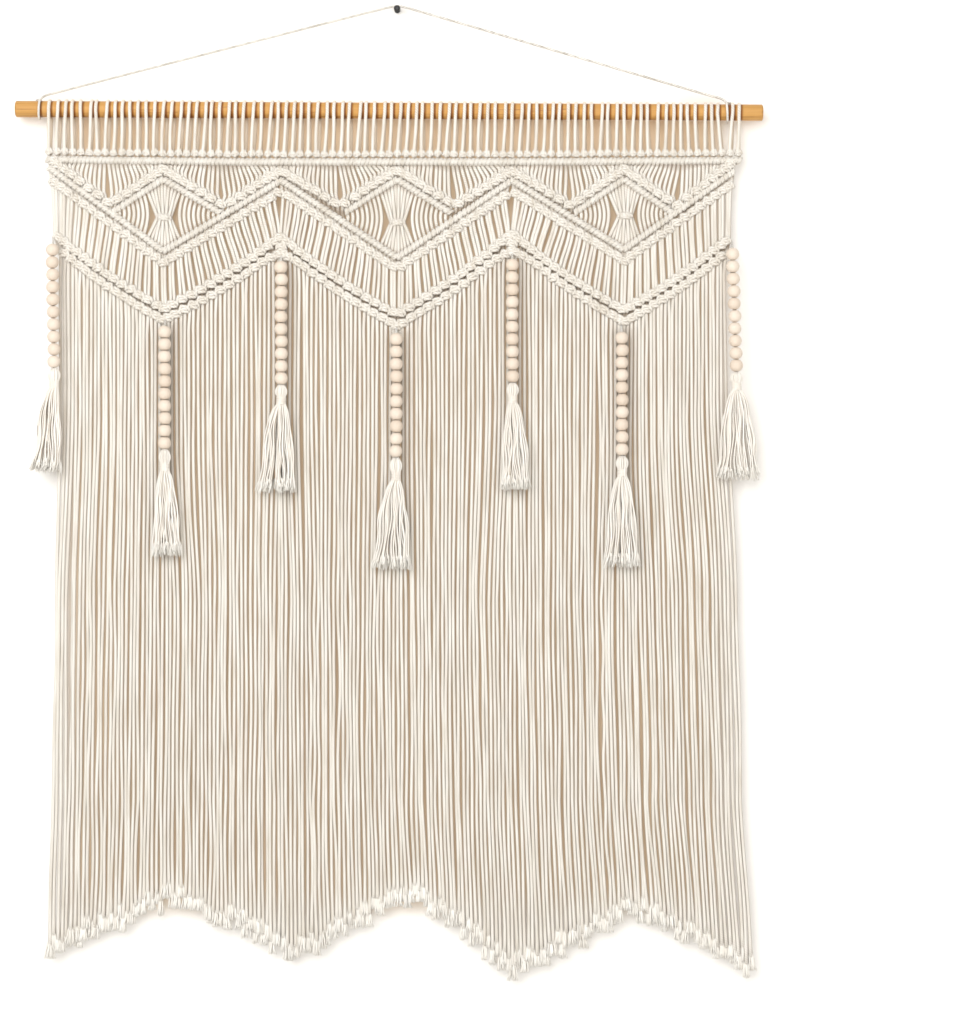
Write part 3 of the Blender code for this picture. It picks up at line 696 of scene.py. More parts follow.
def loop_paths():
    """Each loop as one line: up the front leg, half round the rod, and down the back leg.

    The legs are straight from the knot to where they touch the rod's circle, with a slight bow.
    """
    back_shift = heading_rng.uniform(-0.6, 2.6, LOOP_COUNT)[:, None]
    bow = heading_rng.uniform(-0.9, 0.9, LOOP_COUNT)[:, None]
    top, knot = top_across[:, None], knot_across[:, None]
    radius = ROD_DIAMETER / 2 + LOOP_PLAY
    foot = header_drop(knot) - BAND_HEIGHT / 2
    rise = np.linspace(0.0, 1.0, 11)[None, :-1]
    arc = np.radians(np.linspace(*LOOP_ARC, 17))[None, :]
    turn = (arc - arc[0, 0]) / (arc[0, -1] - arc[0, 0])
    arc_top = rod_drop(top)
    touch_drop = arc_top - radius * math.sin(arc[0, 0])
    touch_depth = radius * math.cos(arc[0, 0])
    sway = bow * np.sin(math.pi * rise)
    outwards = LEG_DEPTH + (touch_depth - LEG_DEPTH) * rise
    upwards = foot + (touch_drop - foot) * rise
    front_foot, back_foot, back_top = knot + FRONT_FOOT, knot + BACK_FOOT, top + back_shift
    front = at(front_foot + (top - front_foot) * rise + sway, NET_DEPTH + outwards, upwards)
    over = at(top + back_shift * turn, NET_DEPTH + radius * np.cos(arc), arc_top - radius * np.sin(arc))
    back = at(back_foot + (back_top - back_foot) * rise - sway, NET_DEPTH - outwards, upwards)
    return np.concatenate([front, over, back[:, ::-1]], axis=1)


CORD_LIGHT = (0.79, 0.765, 0.715)
CORD_GROOVE = (0.56, 0.505, 0.42)
CORD_LAY = 2.9
CORD_TWIST = 0.45
BACK_LEG_PAINTED_SHADE = 0.55
FRONT_LEG_SHARE = 0.9
PAINTED_SHADE_BETWEEN_CORDS = (0.2, 0.125, 0.06)
PAINTED_SHADE_BETWEEN_LOOPS = (0.72, 0.58, 0.42)
cord_cotton = cotton("natural_cotton", CORD_LIGHT, CORD_GROOVE, PAINTED_SHADE_BETWEEN_CORDS, CORD_LAY, CORD_TWIST)
loop_cotton = cotton("loop_cotton", CORD_LIGHT, CORD_GROOVE, PAINTED_SHADE_BETWEEN_LOOPS, CORD_LAY, CORD_TWIST)
loop_skin = tube(loop_paths(), CORD_DIAMETER / 2 * MM, 8)
# Painted shade: the back legs get an even share of loop_cotton's lighter warm shade colour, for the shade of
# the rod and the front legs, and the front legs keep most of their flank shade
on_back_leg = ROD_DEPTH + loop_skin.points[:, 1] / MM > 0.5
loop_painted_shade = np.where(on_back_leg, BACK_LEG_PAINTED_SHADE, loop_skin.deep * FRONT_LEG_SHARE)
add_piece("loops", loop_skin._replace(deep=loop_painted_shade), loop_cotton, ["heading"])

KnotSize = namedtuple("KnotSize", "half_width half_depth bar_gap thick")
KNOT_BOXINESS = 0.7
Bar = namedtuple("Bar", "side slant reach")
BARS = (Bar(1.0, 0.2, 0.88), Bar(0.0, -0.16, 1.0), Bar(-1.0, 0.2, 0.88))
Bight = namedtuple("Bight", "side length")
BIGHTS = (Bight(1.0, 1.0), Bight(-1.0, 0.7))
BIGHT_SLIMNESS = 0.85
BIGHT_SLANT = 0.35
BIGHT_INSET = 0.8
BIGHT_FORWARD = 0.9


def square_knots(centres, tilt, size, bight_side):
    """Square knots: plump bars, one under another, that slant in turn to either side, and two bights.

    The bars lie along a direction turned by tilt in the plane of the net, a bight stands across them at each
    end, and the one on bight_side is the longer.
    """
    count = len(centres)
    along = np.stack([np.cos(tilt), np.zeros(count), np.sin(tilt)], axis=1)
    square = np.stack([-np.sin(tilt), np.zeros(count), np.cos(tilt)], axis=1)
    side_of = np.array(bight_side)[:, None]
    half_width = np.broadcast_to(size.half_width, count)
    thick = size.thick
    made = []
    for bar in BARS:
        line = unit(along + bar.slant * side_of * square)
        place = centres + MM * (bar.side * size.bar_gap * square + (0.5 - abs(bar.side)) * 0.5 * OUT)
        half_length = half_width * bar.reach - thick
        made.append(rings(place, line, half_length, size.half_depth, thick, thick, square=KNOT_BOXINESS))
    slim, slim_depth = thick * BIGHT_SLIMNESS, size.half_depth * BIGHT_SLIMNESS
    for bight in BIGHTS:
        line = unit(square - bight.side * BIGHT_SLANT * side_of * along)
        aside = bight.side * side_of * (half_width - thick * BIGHT_INSET)[:, None] * along
        place = centres + MM * (aside + BIGHT_FORWARD * OUT)
        made.append(rings(place, line, size.bar_gap * bight.length, slim_depth, slim, slim))
    return made


LOOP_KNOT = KnotSize(half_width=4.7, half_depth=2.8, bar_gap=2.6, thick=2.0)
knot_rng = np.random.default_rng(5)
loop_knots = at(
    knot_across + knot_rng.uniform(-0.5, 0.5, LOOP_COUNT),
    NET_DEPTH + 0.6,
    header_drop(knot_across) - LOOP_KNOT_RISE + knot_rng.uniform(-0.8, 0.8, LOOP_COUNT),
)
loop_knot_skins = square_knots(
    loop_knots, knot_rng.normal(0.0, 0.14, LOOP_COUNT), LOOP_KNOT, knot_rng.choice([-1.0, 1.0], LOOP_COUNT)
)
add_piece("loop_knots", joined(loop_knot_skins), cord_cotton, ["heading"])


WRAP_FULLNESS = 0.62
WRAP_BOXINESS = 0.75
# Painted shade where each wrap lies against the next
WRAP_GROOVE = 0.4
HOLDING_INSET = 1.75
HOLDING_SHADE = 0.12


def hitches(across, drop, height, depth, slant, rng):
    """Two wraps of each cord round a holding cord, as rings square to its line, with a little unevenness."""
    slope = np.arctan(np.gradient(drop, across))
    count = len(across)
    normal = np.stack([np.sin(slope), np.zeros(count), np.cos(slope)], axis=1)
    centres = at(across, NET_DEPTH + rng.uniform(-0.25, 0.25, count), drop + rng.uniform(-0.25, 0.25, count))
    pitch = float(np.mean(np.abs(np.gradient(across)) / np.cos(slope)))
    half_height = height / 2 - HITCH_THICK + rng.uniform(-0.2, 0.2, count)
    return rings(
        centres, normal, half_height, depth / 2 - HITCH_THICK, HITCH_THICK, pitch * WRAP_FULLNESS,
        slant=slant, square=WRAP_BOXINESS, groove=WRAP_GROOVE,
    )


def holding_cord(across, drop, height):
    """The cord that the wraps are tied round, which fills the hollows between them: a tube on their line."""
    depth = np.full(len(across), NET_DEPTH + 0.6)
    line = evenly_spaced(np.stack([across, depth, drop], axis=1), spacing=3.0)
    skin = tube(at(*line.T)[None], (height / 2 - HOLDING_INSET) * MM, 12)
    # An even painted shade over the holding cord, which lies in the hollows between the wraps
    return skin._replace(deep=np.full(len(skin.points), HOLDING_SHADE))


BAND_SLANT = 1.5
WRAP_PLACES = (-0.17, 0.17)
HEADER_ENDS = (-427.5, 419.5)
hitch_rng = np.random.default_rng(3)
wrap_order = np.add.outer(strand, WRAP_PLACES).ravel()
header_across = np.linspace(*HEADER_ENDS, STRAND_COUNT)
band_across = header_across[0] + wrap_order * (header_across[1] - header_across[0])
band_drop = header_drop(band_across)
band_skins = [
    hitches(band_across, band_drop, BAND_HEIGHT, BAND_DEPTH, BAND_SLANT, hitch_rng),
    holding_cord(band_across, band_drop, BAND_HEIGHT),
]
add_piece("header_band", joined(band_skins), cord_cotton, ["heading"])

# The net: 172 cords that leave the header band and are tied in rows. A zigzag of hitches closes three
# diamonds under short roofs, square knots follow it above and below, and two rows of them end the net.

RIDGE_HEIGHT = 9.6
RIDGE_DEPTH = 9.4
UPPER_KNOTS_RISE = 12.0
LOWER_KNOTS_FALL = 13.3
CHEVRON_ROW_STEP = 7.0
KNOT_HALF_HEIGHT = 5.3
KNOT_PAIRING = 0.55
CHEVRON_BULGE = 5.5
LEVEL_PEAK_DROP = 220.0
UPPER_LEAN = 5.2
RIDGE_LEAN = 0.45
VALLEY_PARTING = 2.3
BUNDLE_HALF_COUNT = 5.0
BUNDLE_PITCH = 1.7
BOWING = 0.1
STRING_FLANK = 10.4
STRING_HIDE = 4.6
PARTED_LEFT = -411.0
PARTED_RIGHT = 401.5
HIDDEN_HALF_COUNT = 2.6
TUFT_LENGTH = 17.0
FRINGE_ENDS = (-425.0, 433.0)

# The zigzags: at each station the drop of the long ridge, of the chevron, and of the fringe's lower edge
Station = namedtuple("Station", "across ridge chevron end_across end")
STATIONS = (
    Station(-425.0, 196.0, 279.0, -426.0, 1163.0),
    Station(-286.0, 298.0, 375.0, -268.0, 1095.0),
    Station(-142.0, 211.0, 287.0, -127.0, 1166.0),
    Station(0.0, 306.0, 382.0, 21.0, 1092.0),
    Station(141.0, 211.0, 283.0, 142.0, 1185.0),
    Station(278.0, 296.0, 377.0, 290.0, 1111.0),
    Station(411.0, 201.0, 285.0, 434.0, 1182.0),
)
# The roof over each diamond, and the knot in the diamond's middle
Roof = namedtuple("Roof", "left left_drop apex apex_drop right right_drop gather_across gather_drop")
ROOFS = (
    Roof(-351.0, 252.0, -286.0, 209.5, -211.0, 254.0, -285.4, 256.6),
    Roof(-69.0, 254.0, 0.0, 210.0, 71.0, 254.0, 0.6, 262.7),
    Roof(213.0, 254.0, 278.0, 209.5, 342.0, 254.0, 279.2, 254.7),
)
station_order = np.linspace(0.0, STRAND_COUNT - 1.0, len(STATIONS))
station_across = np.array([s.across for s in STATIONS])
roof_line = [(s.across, s.ridge) for s in STATIONS if s.ridge < LEVEL_PEAK_DROP]
for roof in ROOFS:
    roof_line += [(roof.left, roof.left_drop), (roof.apex, roof.apex_drop), (roof.right, roof.right_drop)]
roof_line = np.array(sorted(roof_line))


def ridge_drop(across):
    return np.interp(across, station_across, [s.ridge for s in STATIONS])


def chevron_drop(across):
    """Straight from station to station, and bulging down by half a sine wave between each two."""
    way = np.interp(across, station_across, np.arange(len(STATIONS)))
    straight = np.interp(way, np.arange(len(STATIONS)), [s.chevron for s in STATIONS])
    return straight + CHEVRON_BULGE * np.abs(np.sin(math.pi * way))


def roof_drop(across):
    """The upper zigzag: the long ridge, and over the three diamonds their roofs."""
    return np.interp(across, roof_line[:, 0], roof_line[:, 1])


def towards(across, points, amount, parting=0.0):
    """Lean towards the nearest of some points: amount sin(2 pi way / spacing), none at the point and halfway.

    parting adds a shift that grows with the square of the way, and opens a slit halfway between two points.
    """
    points = np.asarray(points)
    nearest = points[np.argmin(np.abs(across[:, None] - points[None, :]), axis=1)]
    away = np.clip((across - nearest) / np.median(np.diff(points)), -0.5, 0.5)
    return -amount * np.sin(2 * math.pi * away) - parting * np.sign(away) * (2 * away) ** 2


# Under the band the cords lean to and from the peaks of the upper zigzag
net_across = np.interp(strand, station_order, station_across)
upper_peaks = [STATIONS[0].across]
for roof, station in zip(ROOFS, STATIONS[2::2]):
    upper_peaks += [roof.apex, station.across]
upper_across = net_across + towards(net_across, upper_peaks, UPPER_LEAN)
upper_parted = net_across + towards(net_across, upper_peaks, UPPER_LEAN, VALLEY_PARTING)
ridge_across = net_across + towards(net_across, upper_peaks, UPPER_LEAN * RIDGE_LEAN)

# On each of the six slopes of the chevron, the cords slide down the slope under the ridge, and lean up it
# again on their way to the chevron
Slope = namedtuple("Slope", "slid leant")
SLOPES = (
    Slope(3.4, 8.6),
    Slope(3.8, 9.2),
    Slope(3.0, 6.6),
    Slope(3.0, 6.6),
    Slope(3.8, 8.8),
    Slope(2.4, 4.6),
)
slope_number = np.minimum((strand / station_order[1]).astype(int), len(SLOPES) - 1)
from_left = strand / station_order[1] - slope_number
uphill = np.where(slope_number % 2 == 0, -1.0, 1.0)
from_peak = np.where(uphill < 0, from_left, 1 - from_left)
slid = -uphill * np.array([s.slid for s in SLOPES])[slope_number] * np.cos(math.pi / 2 * from_peak)
leant = uphill * np.array([s.leant for s in SLOPES])[slope_number] * np.sin(math.pi * from_peak)

# Where the cords pass the middle of each diamond: gathered at its knot, or bowed towards it
middle_across = ridge_across.copy()
middle_share = np.full(STRAND_COUNT, 0.5)
gathered = np.zeros(STRAND_COUNT, bool)
span = ridge_drop(ridge_across) - roof_drop(ridge_across)
for roof, centre in zip(ROOFS, station_order[1::2]):
    away = strand - centre
    inside = (ridge_across > roof.left) & (ridge_across < roof.right)
    bundle = inside & (np.abs(away) < BUNDLE_HALF_COUNT)
    bowed = inside & ~bundle
    middle_across[bowed] -= np.sign(away[bowed]) * BOWING * span[bowed]
    middle_across[bundle] = roof.gather_across + away[bundle] * BUNDLE_PITCH
    share = (roof.gather_drop - roof_drop(ridge_across)) / np.maximum(span, 1.0)
    middle_share[bundle] = share[bundle]
    gathered |= bundle

# Under the chevron the cords part round the bead strings, and a few hang hidden behind each
Hang = namedtuple("Hang", "top_across top_drop bottom_across bottom_drop")
BEAD_STRINGS = (
    Hang(-420.5, 297.1, -418.2, 433.7),
    Hang(-283.2, 397.3, -283.2, 532.9),
    Hang(-141.1, 318.4, -141.1, 454.1),
    Hang(-0.5, 406.2, -0.9, 542.9),
    Hang(140.8, 315.5, 141.4, 451.6),
    Hang(274.9, 404.7, 275.2, 540.8),
    Hang(409.8, 302.5, 414.5, 438.4),
)
place_order, place_across, hidden = [0.0], [PARTED_LEFT], np.zeros(STRAND_COUNT, bool)
for string, centre in zip(BEAD_STRINGS[1:-1], station_order[1:-1]):
    for away, aside in ((-3.0, -STRING_FLANK), (-2.0, -STRING_HIDE), (2.0, STRING_HIDE), (3.0, STRING_FLANK)):
        place_order.append(centre + away)
        place_across.append(string.top_across + aside)
    hidden |= np.abs(strand - centre) < HIDDEN_HALF_COUNT
place_order.append(STRAND_COUNT - 1.0)
place_across.append(PARTED_RIGHT)
parted_across = np.interp(strand, place_order, place_across)

under_ridge = net_across + slid
chevron_across = 0.6 * net_across + 0.4 * parted_across + leant
between_across = 0.4 * net_across + 0.6 * parted_across + 0.6 * leant

# Two cords come together in each knot, neighbours lie a little deeper or nearer, and no two end alike
net_rng = np.random.default_rng(21)
stagger = np.where(strand % 2 == 0, 1.0, -1.0)
pairing = stagger * np.repeat(net_rng.uniform(0.7, 1.3, LOOP_COUNT), 2) * KNOT_PAIRING
depth_jitter = net_rng.uniform(-0.8, 0.8, STRAND_COUNT)
end_across_even = np.linspace(*FRINGE_ENDS, STRAND_COUNT)
end_drop = np.interp(end_across_even, [s.end_across for s in STATIONS], [s.end for s in STATIONS])
end_drop = end_drop - TUFT_LENGTH + net_rng.uniform(-11.0, 9.0, STRAND_COUNT)

# The levels that all cords pass on their way down the net
Level = namedtuple("Level", "across depth drop rings ease sway")
BOWING_OUT = 2.0
BOWING_IN = 3.0
top_drop = roof_drop(ridge_across)
low_drop = np.maximum(ridge_drop(ridge_across), top_drop + 1.2)
knot_top = roof_drop(upper_across) - UPPER_KNOTS_RISE
leave_drop = header_drop(header_across) + 2.0
parting_drop = np.maximum(knot_top - 11.0, leave_drop + 1.5)
pairing_drop = np.maximum(knot_top - 2.0, leave_drop + 3.5)
middle_drop = top_drop + (low_drop - top_drop) * middle_share
middle_depth = NET_DEPTH + np.where(gathered, 1.7 * stagger, 0.5 * depth_jitter)
under_across = 0.5 * (ridge_across + under_ridge)
under_drop = ridge_drop(under_ridge) + LOWER_KNOTS_FALL + KNOT_HALF_HEIGHT
over_chevron = chevron_drop(chevron_across) - CHEVRON_ROW_STEP - KNOT_HALF_HEIGHT * 0.5
below_chevron = chevron_drop(parted_across) + CHEVRON_ROW_STEP + KNOT_HALF_HEIGHT
net_levels = (
    Level(header_across, NET_DEPTH + 1.0, leave_drop, 0, 0.0, 0.0),
    Level(upper_parted + 0.4 * pairing, NET_DEPTH, parting_drop, 5, 0.35, 0.3),
    Level(upper_across + pairing, NET_DEPTH, pairing_drop, 3, 0.3, 0.0),
    Level(ridge_across, NET_DEPTH, top_drop, 3, 0.5, 0.0),
    Level(middle_across, middle_depth, middle_drop, 6, BOWING_OUT, 0.0),
    Level(ridge_across, NET_DEPTH, low_drop, 6, BOWING_IN, 0.0),
    Level(under_across + pairing, NET_DEPTH, low_drop + LOWER_KNOTS_FALL, 3, 0.5, 0.0),
    Level(under_ridge + pairing, NET_DEPTH, under_drop, 1, 0.0, 0.0),
    Level(chevron_across + pairing, NET_DEPTH, over_chevron, 9, 0.45, 0.4),
    Level(between_across, NET_DEPTH, chevron_drop(between_across), 3, 0.5, 0.0),
    Level(parted_across - 0.5 * pairing, NET_DEPTH, below_chevron, 3, 0.5, 0.0),
)


def cords_through(levels, straight, rng, bunching=0.0):
    """Lines through levels: between two levels a cord's place is here + (next - here) ease(t), with a sway.

    t goes evenly from 0 to 1, or with bunching more slowly near both ends: u - bunching sin(2 pi u) / (2 pi).
    ease is a mix of t and the smooth step 3t^2 - 2t^3. A bow's two halves are sin(pi t / 2) and
    1 - cos(pi t / 2), but straight cords keep to t. sway is a half wave that is nothing at both levels.
    """
    pieces = []
    for here, after in zip(levels, levels[1:]):
        u = np.linspace(0.0, 1.0, after.rings + 1)[None, 1:]
        t = u - bunching * np.sin(2 * math.pi * u) / (2 * math.pi)
        if after.ease == BOWING_OUT:
            way = np.where(straight[:, None], t, np.sin(math.pi / 2 * t))
        elif after.ease == BOWING_IN:
            way = np.where(straight[:, None], t, 1 - np.cos(math.pi / 2 * t))
        else:
            way = (1 - after.ease) * t + after.ease * (3 * t**2 - 2 * t**3)
        columns = []
        for name, share in (("across", way), ("depth", t), ("drop", t)):
            start = np.broadcast_to(getattr(here, name), len(strand))[:, None]
            stop = np.broadcast_to(getattr(after, name), len(strand))[:, None]
            columns.append(start + (stop - start) * share)
        wave = np.sin(math.pi * t) * after.sway
        columns[0] += wave * rng.normal(0.0, 1.0, (len(strand), 1))
        columns[1] += wave * rng.normal(0.0, 0.8, (len(strand), 1))
        pieces.append(at(*columns))
    first = at(*(np.broadcast_to(value, len(strand)) for value in levels[0][:3]))[:, None, :]
    return np.concatenate([first] + pieces, axis=1)


HELD_DIAMETER = 4.6
SETBACK = 1.9
ROW_REACH = 3.5
ROW_FADE = 5.0
OPEN_LEFT = -430.0
OPEN_REACH = 150.0
OPEN_DROP = 1000.0
NET_OPENNESS = 0.7
FRINGE_OPENNESS = 0.55
HELD_BUNCHING = 0.8
ROW_SHADE = 0.7


def near_rows(paths):
    """How near a cord is to a band, ridge or row: 1 up to 3.5 mm off its line, smoothly to 0 at 8.5 mm."""
    across, drop = paths[..., 0] / MM, -paths[..., 2] / MM
    lines = (header_drop(across), roof_drop(across), ridge_drop(across), chevron_drop(across))
    off = np.min([np.abs(drop - line) for line in lines], axis=0)
    share = np.clip(1 - (off - ROW_REACH) / ROW_FADE, 0.0, 1.0)
    return share**2 * (3 - 2 * share)


def lit_from_left(skin, strength):
    """Less warm shade between the cords towards the left edge, where the light gets in behind them."""
    across, drop = skin.points[:, 0] / MM, -skin.points[:, 2] / MM
    near_edge = np.clip(1 - (across - OPEN_LEFT) / OPEN_REACH, 0.0, 1.0)
    high_up = np.clip(1.3 - drop / OPEN_DROP, 0.0, 1.0)
    return skin._replace(deep=skin.deep * (1 - strength * near_edge * high_up))


def shaded_in_front(skin, paths, radius, shade):
    """At least a shade on the half of each cord that faces out: shade holds one value for each ring."""
    sides = len(skin.points) // shade.size
    out_from = np.repeat(paths[..., 1].ravel(), sides) - skin.points[:, 1]
    reach = np.repeat(np.broadcast_to(radius, shade.shape).ravel(), sides)
    facing = np.clip(0.5 + out_from / reach, 0.0, 1.0)
    return skin._replace(deep=np.maximum(skin.deep, facing * np.repeat(shade.ravel(), sides)))


net_paths = cords_through(net_levels, gathered, net_rng, HELD_BUNCHING)
behind_rows = near_rows(net_paths)
net_paths[..., 1] += SETBACK * MM * behind_rows
held_radius = HELD_DIAMETER / 2 * MM
net_skin = tube(net_paths, held_radius, 8)
# Painted shade on the front of the cords where they dip behind a band, ridge or row
net_skin = shaded_in_front(net_skin, net_paths, held_radius, ROW_SHADE * behind_rows)
net_skin = lit_from_left(net_skin, NET_OPENNESS)
net_cords = add_piece("net_cords", net_skin, cord_cotton, ["knotted_panel"])

RIDGE_SLANT = 1.4
END_PITCH = 4.9
ROOF_INSET = 4.0


def ridge_of(line_of, left=-math.inf, right=math.inf):
    """The places of two wraps for every cord, along a line between two ends."""
    across = np.interp(wrap_order, strand, ridge_across)
    across = across + (wrap_order - np.clip(wrap_order, 0, STRAND_COUNT - 1)) * END_PITCH
    across = across[(across > left) & (across < right)]
    return across, line_of(across)


ridge_runs = [ridge_of(ridge_drop)]
ridge_runs += [ridge_of(roof_drop, roof.left + ROOF_INSET, roof.right - ROOF_INSET) for roof in ROOFS]
ridge_skins = [hitches(*run, RIDGE_HEIGHT, RIDGE_DEPTH, RIDGE_SLANT, hitch_rng) for run in ridge_runs]
ridge_skins += [holding_cord(*run, RIDGE_HEIGHT) for run in ridge_runs]


def add_net_piece(name, skins):
    """Ridges or knots of the net, which take the place of the net's sheet."""
    add_piece(name, joined(skins), cord_cotton, ["knotted_panel"])


add_net_piece("hitched_ridges", ridge_skins)

# The four rows of square knots, and one more knot under each of the chevron's inner points
PEAK_FALL = 5.5
PEAK_REACH = 15.0
KNOT_FOLLOW = 0.42
KNOT_TILT = 0.12
BIGHT_ODDS = (0.8, 0.2)
NET_KNOT = KnotSize(half_width=7.0, half_depth=2.9, bar_gap=3.1, thick=2.35)
PEAK_KNOT = NET_KNOT._replace(bar_gap=3.0)
ROW_INSET = 4.0
inner_peaks = np.array([(s.across, s.chevron) for s in STATIONS[2:-1:2]])


def under_peaks(across):
    """The lower line of the chevron: it drops a little more under its two inner points, over a bell curve."""
    away = np.min(np.abs(across[:, None] - inner_peaks[:, 0]), axis=1)
    return chevron_drop(across) + PEAK_FALL * np.exp(-((away / PEAK_REACH) ** 2))


Row = namedtuple("Row", "order_across line fall first depth")
KNOT_ROWS = (
    Row(upper_across, roof_drop, -UPPER_KNOTS_RISE, 0.5, 0.6),
    Row(under_across, ridge_drop, LOWER_KNOTS_FALL, 0.5, 0.6),
    Row(0.5 * (chevron_across + between_across), chevron_drop, -CHEVRON_ROW_STEP, 0.5, 0.4),
    Row(0.5 * (between_across + parted_across), under_peaks, CHEVRON_ROW_STEP, 1.5, 0.4),
)
row_rng = np.random.default_rng(9)
for number, row in enumerate(KNOT_ROWS, start=1):
    places = np.arange(row.first, STRAND_COUNT - 1.0, 2.0)
    across = np.interp(places, strand, row.order_across)
    across = np.clip(across, row.order_across[0] + ROW_INSET, row.order_across[-1] - ROW_INSET)
    line = row.line(across)
    count = len(across)
    centres = at(
        across + row_rng.uniform(-0.4, 0.4, count),
        NET_DEPTH + row.depth + row_rng.uniform(-0.5, 0.5, count),
        line + row.fall + row_rng.uniform(-0.5, 0.5, count),
    )
    tilt = -KNOT_FOLLOW * np.arctan(np.gradient(line, across)) + row_rng.normal(0.0, KNOT_TILT, count)
    size = NET_KNOT._replace(half_width=row_rng.uniform(6.8, 7.6, count))
    bights = row_rng.choice([-1.0, 1.0], count, p=BIGHT_ODDS)
    add_net_piece(f"knot_row_{number}", square_knots(centres, tilt, size, bights))

peak_centres = at(inner_peaks[:, 0], NET_DEPTH + 1.0, inner_peaks[:, 1] + PEAK_FALL)
add_net_piece("peak_knots", square_knots(peak_centres, (0.1, -0.12), PEAK_KNOT, (1.0, -1.0)))

# Each diamond's bundle is tied in its middle with two square knots, one over the other
FIRST_TIE = KnotSize(half_width=9.6, half_depth=4.4, bar_gap=1.9, thick=1.9)
SECOND_TIE = KnotSize(half_width=9.2, half_depth=4.3, bar_gap=1.7, thick=1.8)
gather_centres = at([r.gather_across for r in ROOFS], NET_DEPTH + 0.6, [r.gather_drop for r in ROOFS])
gather_skins = square_knots(gather_centres, (-0.03, 0.04, 0.02), FIRST_TIE, (-1.0, 1.0, -1.0))
gather_skins += square_knots(gather_centres, (0.05, -0.04, 0.03), SECOND_TIE, (1.0, -1.0, 1.0))
add_net_piece("gather_knots", gather_skins)

# The fringe: the same 172 cords, hanging free below the net. They part round the bead strings, close up
# again below the tassels, and are cut to a scalloped edge where each end has come untwisted.

PASSED_FALL = 36.0
PARTED_FALL = 175.0
CLOSED_DROP = 725.0
CLOSED_ENDS = (-418.5, 415.5)
FLARED_DROP = 970.0
FLARED_ENDS = (-421.5, 421.5)
LOOSE_FROM = 420.0
LOOSE_OVER = 300.0
EASED_FROM = 10.0
EASED_OVER = 50.0
UNTWISTED_LENGTH = 26.0
UNTWISTED_SWELLING = 0.3
STRING_SHADE = 0.3

fringe_rng = np.random.default_rng(13)
hang_line = chevron_drop(parted_across)
behind_beads = np.where(hidden, -3.6 + 1.6 * stagger, 0.6 * depth_jitter)
rejoined_across = np.linspace(*CLOSED_ENDS, STRAND_COUNT)
flared_across = np.linspace(*FLARED_ENDS, STRAND_COUNT)
free_depth = NET_DEPTH + 1.2 * fringe_rng.uniform(-1.0, 1.0, STRAND_COUNT)
drift = fringe_rng.normal(0.0, 0.7, (4, STRAND_COUNT))
fringe_levels = (
    net_levels[-1]._replace(rings=0),
    Level(parted_across + 0.6 * drift[0], NET_DEPTH + behind_beads, hang_line + PASSED_FALL, 4, 0.4, 0.0),
    Level(parted_across + drift[1], NET_DEPTH + 0.5 * behind_beads, hang_line + PARTED_FALL, 10, 0.5, 0.35),
    Level(rejoined_across + drift[2], free_depth, CLOSED_DROP, 9, 0.8, 0.5),
    Level(flared_across + drift[3], free_depth, FLARED_DROP, 13, 0.6, 0.6),
    Level(end_across_even, free_depth, end_drop, 12, 0.35, 0.6),
)
fringe_paths = cords_through(fringe_levels, gathered, fringe_rng)

# Each cord wanders in slow waves that its neighbours share, and in one of its own
fallen = -fringe_paths[..., 2] / MM
slow = (
    0.315 * np.sin(strand[:, None] * 0.31 + fallen / 47.0)
    + 0.245 * np.sin(strand[:, None] * 0.83 - fallen / 31.0 + 1.3)
)
own_height = fringe_rng.normal(0.0, 0.3, (STRAND_COUNT, 1))
own_length = fringe_rng.uniform(14.0, 30.0, (STRAND_COUNT, 1))
own_start = fringe_rng.uniform(0.0, 6.3, (STRAND_COUNT, 1))
own = own_height * np.sin(fallen / own_length + own_start)
loosening = np.clip((fallen - LOOSE_FROM) / LOOSE_OVER, 0.0, 1.0)
fringe_paths[..., 0] += (slow + own) * loosening * MM

# The cords are a little thicker where the net holds them, and swell where their ends untwist
easing = np.clip(1 - (fallen - hang_line[:, None] - EASED_FROM) / EASED_OVER, 0.0, 1.0)
untwisting = np.clip((fallen - end_drop[:, None]) / UNTWISTED_LENGTH + 1, 0.0, 1.0)
fringe_radius = (CORD_DIAMETER + (HELD_DIAMETER - CORD_DIAMETER) * easing) / 2 * MM
fringe_radius *= 1 + UNTWISTED_SWELLING * untwisting
fringe_skin = lit_from_left(tube(fringe_paths, fringe_radius, 8), FRINGE_OPENNESS)

# The cords get a painted shadow from each bead string and its tassel, a little more so to the right of it
SHADE_SHIFT = 4.0
SHADE_ABOVE = 12.0
SHADE_BELOW = 140.0
SHADE_WIDTH = 12.0
string_shade = np.zeros(fallen.shape)
for string in BEAD_STRINGS:
    aside = np.abs(fringe_paths[..., 0] / MM - string.top_across - SHADE_SHIFT)
    shade = np.clip(1.6 - aside / SHADE_WIDTH, 0.0, 1.0)
    shade *= (fallen > string.top_drop - SHADE_ABOVE) & (fallen < string.bottom_drop + SHADE_BELOW)
    string_shade = np.maximum(string_shade, shade)
fringe_skin = shaded_in_front(fringe_skin, fringe_paths, fringe_radius, STRING_SHADE * string_shade)
fringe_cords = add_piece("fringe_cords", fringe_skin, cord_cotton, ["fringe"])

Wisps = namedtuple("Wisps", "count length spread thick")
WISP_RINGS = 5
WISP_ROOT = 5.0
WISP_START = 1.3
WISP_SPREADING = 0.7
WISP_FLATNESS = 0.6
WISP_WAVE = 0.9
WISP_TAPER = 0.35
WISP_SHADE = 0.15


